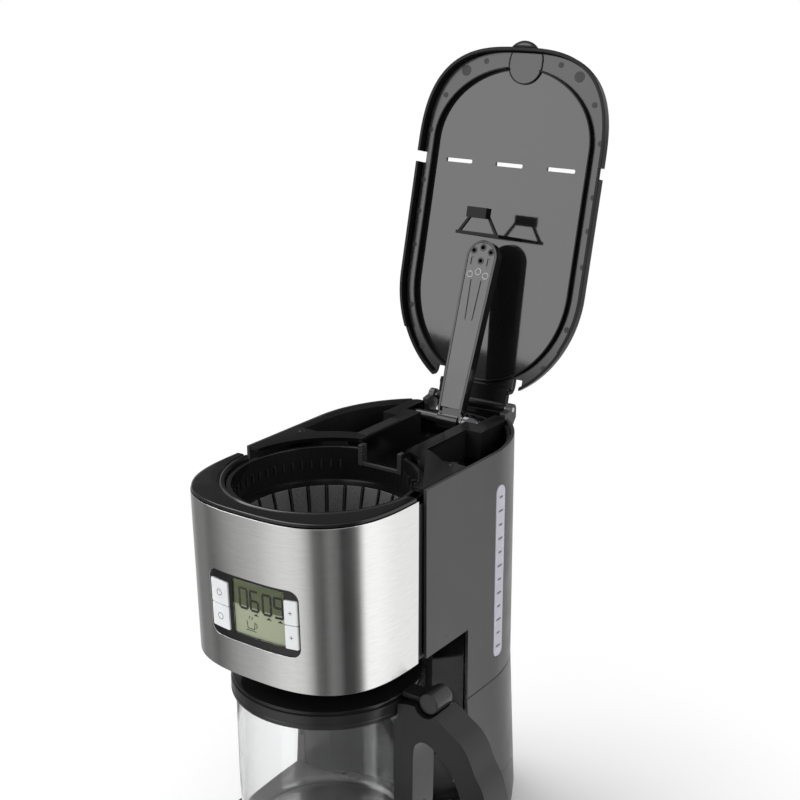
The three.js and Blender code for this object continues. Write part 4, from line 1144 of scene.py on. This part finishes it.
LID_SLOTS = (-45.6, 0.0, 45.6)
# Round marks on the shelf, the same on both sides: x, y and radius
EJECTOR_MARKS = ((76.2, 20, 2.2), (76.2, 45, 2.2), (76.2, 72, 2.2), (33, -76, 2.2), (50, -68, 4.2),
                 (66, -48, 2.2), (75.6, -20, 2.2), (71, 120, 2.2), (56, 152, 2.2))


def slot_tools(z0, z1, grow=0.0):
    return join([prism(rounded(x - 12 - grow, x + 12 + grow, 0.5 - grow, 3.5 + grow, 1.2, 4), z0, z1)
                  for x in LID_SLOTS])


def lug_room():
    return join([block(x0, x1, 164, 210, RING_TOP - 8, ABOVE) for x0, x1 in ((31.5, 39.5), (-39.5, -31.5))])


def side_notches(z0):
    return [block(x0, x1, -2.3, 6.2, z0, ABOVE) for x0, x1 in ((76.4, 95), (-95, -76.4))]


def rib_plan(inset):
    return stadium(70 - inset, -14, 59 - inset, 95, 76 - inset)


TAB_X = middle("lid_finger_tab")[0]
TAB_R = high("lid_finger_tab")[0] - TAB_X


def tab_plan(grow):
    """The finger tab's outline: a half round at each end."""
    r = TAB_R + grow
    return [(u + TAB_X, v) for u, v in stadium(r, -77.5, r, -74.5, r, 24)]


class COFFEE_OT_lid(Builder, bpy.types.Operator):
    """Lid shell, inner panel, rib, finger tab and the loop for the arm"""
    bl_idname = "coffee.lid"
    bl_label = "Lid"

    def build(self, context):
        self.turn = about(LID_PIVOT, LID_OPEN)
        self.shell()
        self.panel()
        self.tab()
        self.guide()
        _, y, z = LID_PIVOT
        pin = soften(rod(2, -38, 38, y, z), 0.3, 2, 50)
        finished("hinge_pin", pin, "aluminium", "machine", ("lid_hinge_pin",))

    def shell(self):
        z = RING_TOP
        levels = [(0.35, z + 0.5), (0, z + 0.9), (0.2, z + 4), (0.4, z + 7), (0.8, z + 8.8), (1.5, z + 10.0),
                  (2.6, z + 11.0), (4.2, z + 11.8), (6.2, z + 12.25), (9.0, z + 12.4)]
        outer = solid([at(lid_plan(d), h) for d, h in levels])
        hollow = skin([at(lid_plan(2.3), z - 1), at(lid_plan(2.4), z + 0.9), at(lid_plan(2.8), z + 9)],
                      around=False, cap=True)
        y0, z0 = LID_PIVOT[1], LID_PIVOT[2]
        rise = block(-100, 100, 138, 220, z - 1, z + 2.6)
        bm = cut(outer, hollow, rise)
        bm = unite(bm, block(-30.5, 30.5, 172, y0, z0 - 1, z0 + 3.6), rod(4, -30.5, 30.5, y0, z0, "X", 40))
        bm = cut(bm, slot_tools(z - 5, ABOVE, 1.5), *side_notches(z - 5), lug_room(),
                 rod(2.3, -45, 45, y0, z0))
        smoothed(bm, 0.35, 2, 45)
        finished("lid_moulding", bm, "rim_black", "lid", ("lid_shell",), self.turn)

    def panel(self):
        z = RING_TOP + 8.7
        shelf = prism(lid_plan(3.2), z - 2, z)
        y = LID_PIVOT[1]
        shelf = cut(shelf, prism(rib_plan(1.4), z - 3, z + 1), lug_room(),
                    block(-45, 45, y - 5.5, 210, 200, ABOVE), *side_notches(z - 5))
        smoothed(shelf, 0.3, 2, 45)
        finished("lid_shelf", shelf, "shelf_grey", "lid", ("lid_inner_panel",), self.turn)
        field = cut(prism(rib_plan(1.5), z - 1.2, z), slot_tools(z - 6, ABOVE))
        smoothed(field, 0.25, 2, 45)
        finished("lid_panel", field, "lid_grey", "lid", ("lid_inner_panel",), self.turn)
        rings = [at(rib_plan(d), z - h) for d, h in (
            (0, 0.6), (0.1, 5.3), (0.4, 5.85), (0.9, 5.9), (1.4, 5.85), (1.7, 5.3), (1.8, 0.6))]
        rib = cut(skin(rings), prism(tab_plan(0.6), z - 9, z + 1))
        flatten(rib)
        finished("lid_rib", rib, "rim_black", "lid", ("lid_inner_panel",), self.turn)
        marks = [rod(r, z - 2.2, z - 1.9, side * u, v, "Z", 28)
                 for side in (-1, 1) for u, v, r in EJECTOR_MARKS]
        finished("lid_ejector_marks", join(marks), "shelf_mark", "lid", (), self.turn)

    def tab(self):
        """The tongue lies flush inside the rim; its lip stands out beyond it."""
        face = RING_TOP + 6.3
        inside = lid_plan(3.4)
        tongue = common(prism(tab_plan(-0.5), face, face + 2.2), prism(inside, face - 1, face + 4))
        smoothed(tongue, 0.3, 2, 50)
        finished("finger_tab", tongue, "shelf_grey", "lid", ("lid_finger_tab",), self.turn)
        line = cut(prism(tab_plan(0.25), face - 0.35, face + 2.2), prism(tab_plan(-0.5), face - 2, face + 4))
        line = common(line, prism(inside, face - 1, face + 4))
        flatten(line)
        finished("finger_tab_line", line, "rim_black", "lid", (), self.turn)
        a, b = RING_TOP + 0.6, RING_TOP + 3.6
        lip = cut(prism(tab_plan(0), a, b), prism(lid_plan(0.1), a - 1, b + 1))
        smoothed(lip, 0.6, 3, 50)
        finished("finger_tab_lip", lip, "rim_black", "lid", ("lid_finger_tab",), self.turn)
        dish = cut(prism(tab_plan(-1.8), a - 0.12, a + 0.4), prism(lid_plan(-1.4), a - 1, b + 1))
        finished("finger_tab_dish", dish, "shelf_grey", "lid", (), self.turn)

    def guide(self):
        refined("arm_loop", "lid_arm_guide", "rim_black", "lid", 0.45, 3, 30)


# ---------------------------------------------------------------- arm


def arm_plan(inset):
    root, tip = 10.3 - inset, 13.3 - inset
    y0 = ARM_PIVOT[1] - 6
    y1 = ARM_PIVOT[1] - 140 + tip + inset
    turns = [math.pi * (1 + i / 24) for i in range(25)]
    return [(ARM_X + root, y0), (ARM_X - root, y0)] + [
        (ARM_X + tip * math.cos(t), y1 + tip * math.sin(t)) for t in turns]


class COFFEE_OT_arm(Builder, bpy.types.Operator):
    """Spray arm with its plate, pivot shaft and domed cap"""
    bl_idname = "coffee.arm"
    bl_label = "Spray arm"

    def build(self, context):
        self.turn = about(ARM_PIVOT, ARM_OPEN)
        _, y, z = ARM_PIVOT
        under = z - 7.4
        top = under + 8
        trough = cut(prism(arm_plan(0), under, top), prism(arm_plan(1.6), under - 1, top - 1.6))
        neck = common(block(ARM_X - 10.3, ARM_X + 10.3, y - 9, y, under + 2, top),
                      rod(11, -30, 30, y, z, "X", 48))
        bm = unite(trough, rod(7, ARM_X - 10.3, ARM_X + 7.6, y, z, "X", 48), neck)
        bm = cut(bm, rod(4.3, ARM_X - 30, ARM_X + 30, y, z, "X", 40))
        smoothed(bm, 0.45, 2, 40)
        finished("arm_channel_moulding", bm, "gloss_black", "spray_arm", ("spray_arm",),
                 self.turn)
        self.plate(y, under)
        shaft = soften(rod(4, ARM_X - 40.5, ARM_X + 10.3, y, z, "X", 40), 0.5, 3, 50)
        finished("arm_shaft", shaft, "dark_grey", "spray_arm", ("arm_pivot_shaft",), self.turn)
        self.cap(y, z)

    def plate(self, y, under):
        tip = y - 140
        x = ARM_X
        plate = cut(prism(arm_plan(1.9), under + 0.2, under + 1.8), block(-40, 40, y - 9.6, y + 20, 0, 400))
        holes = [(x - 7.5, tip + 8.5), (x, tip + 5.5), (x + 7.5, tip + 8.5), (x, tip + 16)]
        for u, v in holes:
            plate = cut(plate, rod(1.5, under - 1, under + 3, u, v, "Z", 24))
        for u in (x - 7.2, x + 7.2):
            slot = rounded(u - 1.4, u + 1.4, tip + 13.5, tip + 19.5, 0.4, 3)
            plate = cut(plate, prism(slot, under - 1, under + 0.9))
        for side in (-1, 1):
            groove = [(x + side * 3.6, tip + 31), (x + side * 5.4, tip + 31), (x + side * 3.4, tip + 62),
                      (x + side * 2.8, tip + 62)]
            if side > 0:
                groove.reverse()
            plate = cut(plate, prism(groove, under - 1, under + 0.9))
        smoothed(plate, 0.2, 2, 45)
        finished("arm_face", plate, "mid_grey", "spray_arm", ("spray_plate",), self.turn)
        rim = raised(under, [(1.6, 0.25), (1.7, -0.15), (2.6, -0.15), (2.8, 0.25)])
        rings = [turned(rim, 32, u, v) for u, v in holes]
        finished("spray_hole_rims", join(rings), "satin_black", "spray_arm", (), self.turn)
        rim = raised(under, [(2.0, 0.25), (2.1, -0.1), (2.6, -0.1), (2.7, 0.25)])
        rings = [turned(rim, 32, x + u, tip + v) for u, v in ((-7, 27), (0, 24.5), (7, 27))]
        finished("spray_plate_rings", join(rings), "pale_grey", "spray_arm", (), self.turn)

    def cap(self, y, z):
        start, end = low("pivot_end_cap")[0], high("pivot_end_cap")[0]
        length = end - start
        profile = [(0, length)]
        for i in range(1, 17):
            t = math.pi / 2 * i / 16
            profile.append((7.6 * math.sin(t), 4 + (length - 4) * math.cos(t)))
        profile += [(7.7, 3.2), (7.7, 2.5), (7.0, 2.2), (7.0, 1.5), (7.7, 1.2), (7.7, 0.3), (7.4, 0), (0, 0)]
        bm = laid(turned(profile, 64), "X", (start, y, z))
        finished("arm_end_cap", bm, "dome_metal", "spray_arm", ("pivot_end_cap",))


# ---------------------------------------------------------------- basket


def slanted(bm, low_r, low_z, high_r, high_z, width=None):
    """Leans a block of height 1 along the cone. With width, it widens with the radius."""
    for v in bm.verts:
        r, z = (high_r, high_z) if v.co.z > 0.5 else (low_r, low_z)
        v.co = Vector((v.co.x + r, v.co.y * (r * width if width else 1), z))
    return bm


def round_the_cone(bm, share):
    """Turns a part to its share of the way round the basket."""
    bmesh.ops.rotate(bm, verts=bm.verts, matrix=Matrix.Rotation(math.tau * share, 3, "Z"))
    return ovalled(bm)


class COFFEE_OT_basket(Builder, bpy.types.Operator):
    """Filter basket with its ribs and grip, and the drip stop"""
    bl_idname = "coffee.basket"
    bl_label = "Filter basket"

    def build(self, context):
        top = high("filter_basket")[2]
        floor = low("filter_basket")[2]
        z = RING_TOP
        profile = raised(floor, [(9.5, 0.3), (9.8, 0), (42.5, 0), (43.2, 0.4)])
        profile += raised(z, [(67.4, -29), (67.6, -27), (67.6, -7.8), (68, -7.3), (69.1, -7.3), (69.4, -7.0)])
        profile += raised(top, [(69.4, -0.5), (69.0, 0), (66.6, 0), (65.9, -0.3), (65.6, -1.2)])
        profile += raised(z, [(65.6, -27.2), (65.3, -28.8), (64.6, -30)])
        profile += raised(floor, [(41.8, 3.0), (41, 2.5), (9.8, 2.5), (9.5, 2.2)])
        bm = ovalled(turned(profile))
        bm = cut(bm, block(ARM_X - 19.3, ARM_X + 19.3, 50, 80, z - 16.3, ABOVE))
        finished("basket_moulding", bm, "basket_black", "basket", ("filter_basket",))
        self.ribs(context, floor, z)
        refined("basket_handle", "basket_grip", "mid_grey", "basket", 0.4, 2, 30)
        refined("drip_stop_valve", "drip_valve", "dark_grey", "drip_stop", 0.2, 2, 30)
        coil = refined("drip_spring_coil", "drip_spring", "aluminium", "basket", 0.05, 1, 60)
        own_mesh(coil)

    def ribs(self, context, floor, z):
        """Long ribs down the cone, and a row of short teeth above them."""
        count = context.scene.coffee_sizes.rib_count
        ribs = []
        for i in range(count):
            rib = slanted(block(-1.3, 1.3, -0.6, 0.6, 0, 1), 41.9, floor + 3.2, 63.0, z - 33)
            ribs.append(round_the_cone(soften(rib, 0.35, 2, 40), i / count))
        for i in range(count * 2):
            share = (i + 0.5) / (count * 2)
            if abs(share * math.tau - math.pi / 2) < 0.42:
                continue
            tooth = soften(block(64.5, 65.8, -0.6, 0.6, z - 19.5, z - 13.5), 0.3, 2, 40)
            ribs.append(round_the_cone(tooth, share))
        finished("basket_ribs", join(ribs), "dark_grey", "basket", ())
        self.facets(count, floor, z)

    def facets(self, count, floor, z):
        """Flat panels of the cone between the ribs, coloured far paler than the basket's black as a painted
        sheen.
        """
        panels = []
        width = math.tan(math.pi / count) * 0.80
        for i in range(count):
            panel = slanted(block(-0.3, 0.3, -1, 1, 0, 1), 41.8, floor + 5, 63.2, z - 32.5, width)
            panels.append(round_the_cone(soften(panel, 0.15, 1, 40), (i + 0.5) / count))
        finished("basket_facets", join(panels), "facet", "basket", ())


# ---------------------------------------------------------------- jug


class COFFEE_OT_jug(Builder, bpy.types.Operator):
    """Glass jug, collar, lid, thumb knob and handle"""
    bl_idname = "coffee.jug"
    bl_label = "Jug"

    def build(self, context):
        self.glass()
        self.collar_and_lid()
        self.knob()
        self.handle()

    def glass(self):
        z0, z1 = low("glass_jug")[2], high("glass_jug")[2]
        outer = raised(z0, [(0, 0.8), (20, 0.5), (48, 0), (55, 0), (58.4, 0.8), (60.8, 2.4), (62.3, 4.8),
                            (63.2, 8.5), (63.9, 16), (64.5, 28), (65, 40), (65.4, 56)])
        outer += [(65.6, 120), (65.6, z1 - 0.8), (65.2, z1 - 0.2), (64.6, z1)]
        inner = [(63.9, z1 - 0.2), (63.4, z1 - 0.8), (63.4, 120)]
        inner += raised(z0, [(63.2, 56), (62.8, 40), (62.3, 28), (61.7, 16), (61.0, 9), (60.0, 6.2),
                             (58.4, 4.4), (56, 3.2), (50, 2.5), (20, 2.9), (0, 3.2)])
        finished("jug_glass", turned(outer + inner, 128), "clear_glass", "jug", ("glass_jug",))

    def collar_and_lid(self):
        z0, z1 = low("jug_collar")[2], high("jug_collar")[2]
        band = raised(z0, [(66, 0), (67.9, 0), (68.6, 0.3), (69, 1.2),
                           (69, 3.2), (68.7, 3.5), (68.7, 4.0), (69, 4.3)])
        band = turned(band + raised(z1, [(69, -1.2), (68.7, -0.3), (68, 0), (66, 0)]))
        finished("jug_band", band, "dark_grey", "jug", ("jug_collar",))
        lid = turned(raised(z1, [
            (0, 6), (58, 1.6), (60, -6), (62.4, -6), (62.6, -5.6), (62.6, 0.3), (67.6, 0.3), (68, 0.7),
            (68, 2.0), (67.5, 2.7), (66, 3.4), (60, 6.8), (52, 8.4), (30, 10.3), (15, 11.1), (13.4, 11.6),
            (11.6, 21.4), (10.6, 22.1), (5.6, 22.3), (5, 21.9), (4.2, 11.2), (3.6, 10.4), (0, 10)]))
        finished("jug_cover", lid, "gloss_black", "jug", ("jug_lid",))

    def knob(self):
        half = high("jug_lid_knob")[1]
        end = [(0, half), (6.4, half), (7.5, half - 0.5), (8, half - 1.7)]
        drum = turned([(r, -h) for r, h in end] + end[::-1], 64)
        laid(drum, "Y", (KNOB_X, 0, KNOB_Z))
        top = high("jug_collar")[2]
        tongue = soften(block(69, KNOB_X, -7, 7, top + 2, top + 6.4), 0.8, 3, 40)
        bm = unite(drum, tongue)
        flatten(bm)
        finished("thumb_knob", bm, "dark_grey", "jug", ("jug_lid_knob",))

    def handle(self):
        half = high("jug_handle")[1]
        bends = [(69.4, 157), (80, 159), (93, 158), (103, 154), (112, 148), (121, 142), (127, 134),
                 (132, 123), (138, 113), (142, 100), (144, 86), (143, 70), (138, 58), (130, 53), (121, 55),
                 (117.5, 63), (121, 78), (122.5, 92), (119, 106), (112, 119), (102, 129), (92, 134),
                 (84.5, 130), (82.5, 120), (82, 90), (81, 68), (76, 62)]
        profile = smooth_path(bends, 4) + [(67.2, 62), (66.6, 80), (66.2, 144), (69.4, 146.2)]
        bm = prism(profile, -half, half, "Y")
        bm = cut(bm, rod(8.8, -20, 20, KNOB_X, KNOB_Z, "Y", 64), rod(66.2, 0, 170, 0, 0, "Z", 128),
                 rod(69.5, RING_TOP - 158.9, 170, 0, 0, "Z", 128),
                 block(60, KNOB_X, -7.4, 7.4, RING_TOP - 146.1, 200),
                 rod(68.6, RING_TOP - 147.9, 200, 0, 0, "Z", 128), rod(3.4, 79, 90, 0, 76))
        smoothed(bm, 2.2, 4, 50)
        finished("handle_moulding", bm, "satin_black", "jug", ("jug_handle",))
        x0, x1 = low("jug_handle_screw")[0], high("jug_handle_screw")[0]
        screw = turned([(0, x0), (2.6, x0), (3, x0 + 0.3), (2.9, x1 - 0.5), (2.2, x1 - 0.1), (0, x1)], 32)
        laid(screw, "X", (0, 0, middle("jug_handle_screw")[2]))
        finished("handle_screw", screw, "aluminium", "jug", ("jug_handle_screw",))


# ---------------------------------------------------------------- studio


WHITE = (1, 1, 1, 1)


def area_lamp(name, place, target, width, height, watts):
    data = bpy.data.lights.new(name, "AREA")
    data.shape = "RECTANGLE"
    data.size, data.size_y = width, height
    data.energy = watts
    lamp = in_scene(name, data)
    lamp.location = place
    lamp.rotation_euler = (Vector(target) - Vector(place)).to_track_quat("-Z", "Y").to_euler()


def either_shader(tree, share, a, b, output):
    """Shows the first shader, or by its share the second."""
    mix = node(tree, "MixShader", {0: share, 1: a, 2: b})
    feed(tree, output, {"Surface": mix.outputs["Shader"]})


def camera_white(tree, surface, output):
    """Shows plain white to the camera and, away from the object, on the floor."""
    white = node(tree, "Emission", {"Color": WHITE, "Strength": 1.0}).outputs["Emission"]
    where = node(tree, "TexCoord").outputs["Object"]
    distance = node(tree, "VectorMath", {0: where}, operation="LENGTH").outputs["Value"]
    far = spread(tree, distance, 0.0, 1.0, 0.16, 0.42)
    seen = reckoned(tree, "MULTIPLY", far, node(tree, "LightPath").outputs["Is Camera Ray"])
    either_shader(tree, seen, surface, white, output)


class COFFEE_OT_stage(Builder, bpy.types.Operator):
    """Floor, soft lamps, plain world and reflection cards"""
    bl_idname = "coffee.stage"
    bl_label = "Stage"

    def build(self, context):
        scene = context.scene
        scene.view_settings.view_transform = "Standard"
        self.world(scene)
        self.floor(context)
        self.cards()
        area_lamp("key", (-0.80, -1.05, 0.92), (0, 0.18, 0.43), 1.25, 1.15, 15)
        area_lamp("fill", (1.9, 0.3, 1.3), (0, 0.05, 0.3), 0.7, 1.5, 12)
        area_lamp("high_left", (-0.95, 0.15, 1.65), (0, 0, 0.25), 0.95, 0.95, 14)

    def world(self, scene):
        """Soft grey light, seen as white by the camera, in reflections and through glass."""
        world = bpy.data.worlds.new("studio")
        scene.world = world
        world.use_nodes = True
        tree = world.node_tree
        ambient = tree.nodes["Background"]
        feed(tree, ambient, {"Color": WHITE, "Strength": 0.55})
        seen = node(tree, "Background", {"Color": WHITE, "Strength": 1.0})
        rays = node(tree, "LightPath").outputs
        share = reckoned(tree, "MAXIMUM", rays["Is Camera Ray"], rays["Is Glossy Ray"])
        share = reckoned(tree, "MAXIMUM", share, rays["Is Transmission Ray"])
        either_shader(tree, share, ambient.outputs["Background"], seen.outputs["Background"],
                      tree.nodes["World Output"])

    def floor(self, context):
        bm = bmesh.new()
        radius = context.scene.coffee_sizes.floor_radius
        bmesh.ops.create_circle(bm, cap_ends=True, segments=96, radius=radius)
        bmesh.ops.translate(bm, verts=bm.verts, vec=(0, 0, CAD_BOUNDS[0][2]))
        obj = in_scene("studio_floor", mesh_of("studio_floor", bm))
        m, tree, shader = start_material("studio_floor", (0.90, 0.90, 0.90), 0.6, 0.0, 0.0)
        clouds = spread(tree, pattern(tree, 3.0), 0.0, 1.0)
        feed(tree, shader, {"Base Color": blended(tree, clouds, (0.89, 0.89, 0.89), (0.91, 0.91, 0.91))})
        camera_white(tree, shader.outputs["BSDF"], tree.nodes["Material Output"])
        obj.data.materials.append(m)

    def cards(self):
        """Cards that only reflections see, which draw the bands on the steel and keep black parts deep."""
        self.card("card_round", 0.36, 0.0, 0.42, (
            (-125, 0.60), (-100, 0.44), (-85, 0.26), (-66, 0.28), (-58, 0.14), (-48, 0.24), (-38, 0.42),
            (-27, 0.76), (-18, 0.95), (-6, 1.04), (6, 0.96), (15, 0.62), (23, 0.20), (32, 0.13), (43, 0.27),
            (52, 0.20), (60, 0.06), (72, 0.08), (80, 0.22), (85, 0.9), (89, 1.5), (105, 1.55), (125, 1.32),
            (146, 1.25)), 0.125)
        self.card("card_back", 1.3, 0.25, 2.2, ((182, 0.16), (200, 0.10), (230, 0.10), (248, 0.16)))

    def card(self, name, radius, bottom, top, stops, inner=None):
        """A curved card about the object. stops are (bearing in degrees from the front, brightness).
        With inner, the card also lies on the floor from that radius outwards."""
        bm = bmesh.new()
        levels = {}

        def ring(r, z):
            points = [(math.sin(math.radians(b)) * r, -math.cos(math.radians(b)) * r, z) for b, _ in stops]
            for p, (_, level) in zip(points, stops):
                levels[(round(p[0], 4), round(p[1], 4))] = level
            return points

        rings = [ring(inner, bottom)] if inner else []
        rings += [ring(radius, bottom), ring(radius, top)]
        verts, edges = wire(bm, rings[0], closed=False)
        for points in rings[1:]:
            verts, edges = grow(bm, verts, edges, points)
        layer = bm.verts.layers.float.new("glow")
        for v in bm.verts:
            v[layer] = levels[(round(v.co.x, 4), round(v.co.y, 4))]
        obj = in_scene(name, mesh_of(name, bm))
        m, tree, _ = start_material(name, (0, 0, 0), 1.0)
        glow = node(tree, "Attribute", attribute_name="glow").outputs["Fac"]
        light = node(tree, "Emission", {"Strength": glow}).outputs["Emission"]
        feed(tree, tree.nodes["Material Output"], {"Surface": light})
        obj.data.materials.append(m)
        obj.visible_camera = False
        obj.visible_diffuse = False
        obj.visible_transmission = False
        obj.visible_shadow = False


CAMERA_PLACE = (0.5719, -0.7282, 0.6520)
CAMERA_TILT = 72.332
CAMERA_TURN = 34.973


class COFFEE_OT_camera(Builder, bpy.types.Operator):
    """Camera at the viewing angle"""
    bl_idname = "coffee.camera"
    bl_label = "Camera"

    def build(self, context):
        data = bpy.data.cameras.new("camera")
        data.lens = context.scene.coffee_sizes.lens
        data.sensor_width = 36
        data.clip_start, data.clip_end = 0.02, 60
        camera = in_scene("camera", data)
        camera.location = CAMERA_PLACE
        camera.rotation_euler = (math.radians(CAMERA_TILT), 0, math.radians(CAMERA_TURN))
        context.scene.camera = camera


class COFFEE_PT_panel(bpy.types.Panel):
    """Sizes, colours and pieces of the coffee maker"""
    bl_idname = "COFFEE_PT_panel"
    bl_label = "Coffee Maker"
    bl_space_type = "VIEW_3D"
    bl_region_type = "UI"
    bl_category = "Coffee Maker"

    def draw(self, context):
        column = self.layout.column(align=True)
        for group in (context.scene.coffee_sizes, context.scene.coffee_colours):
            for key in group.__annotations__:
                column.prop(group, key)
        column.separator()
        for operator in OPERATORS:
            column.operator(operator.bl_idname)


OPERATORS = (
    COFFEE_OT_camera, COFFEE_OT_stage, COFFEE_OT_steel_cover, COFFEE_OT_controls, COFFEE_OT_top_ring,
    COFFEE_OT_tank_housing, COFFEE_OT_gauge, COFFEE_OT_deck, COFFEE_OT_head, COFFEE_OT_base,
    COFFEE_OT_hot_plate, COFFEE_OT_underside, COFFEE_OT_lid, COFFEE_OT_arm, COFFEE_OT_basket, COFFEE_OT_jug,
)
CLASSES = (CoffeeSizes, CoffeeColours, *OPERATORS, COFFEE_PT_panel)


def register():
    for cls in CLASSES:
        bpy.utils.register_class(cls)
    bpy.types.Scene.coffee_sizes = bpy.props.PointerProperty(type=CoffeeSizes)
    bpy.types.Scene.coffee_colours = bpy.props.PointerProperty(type=CoffeeColours)


def unregister():
    del bpy.types.Scene.coffee_colours
    del bpy.types.Scene.coffee_sizes
    for cls in reversed(CLASSES):
        bpy.utils.unregister_class(cls)


def main():
    register()
    for operator in OPERATORS:
        group, name = operator.bl_idname.split(".")
        getattr(getattr(bpy.ops, group), name)()


if __name__ == "__main__":
    main()
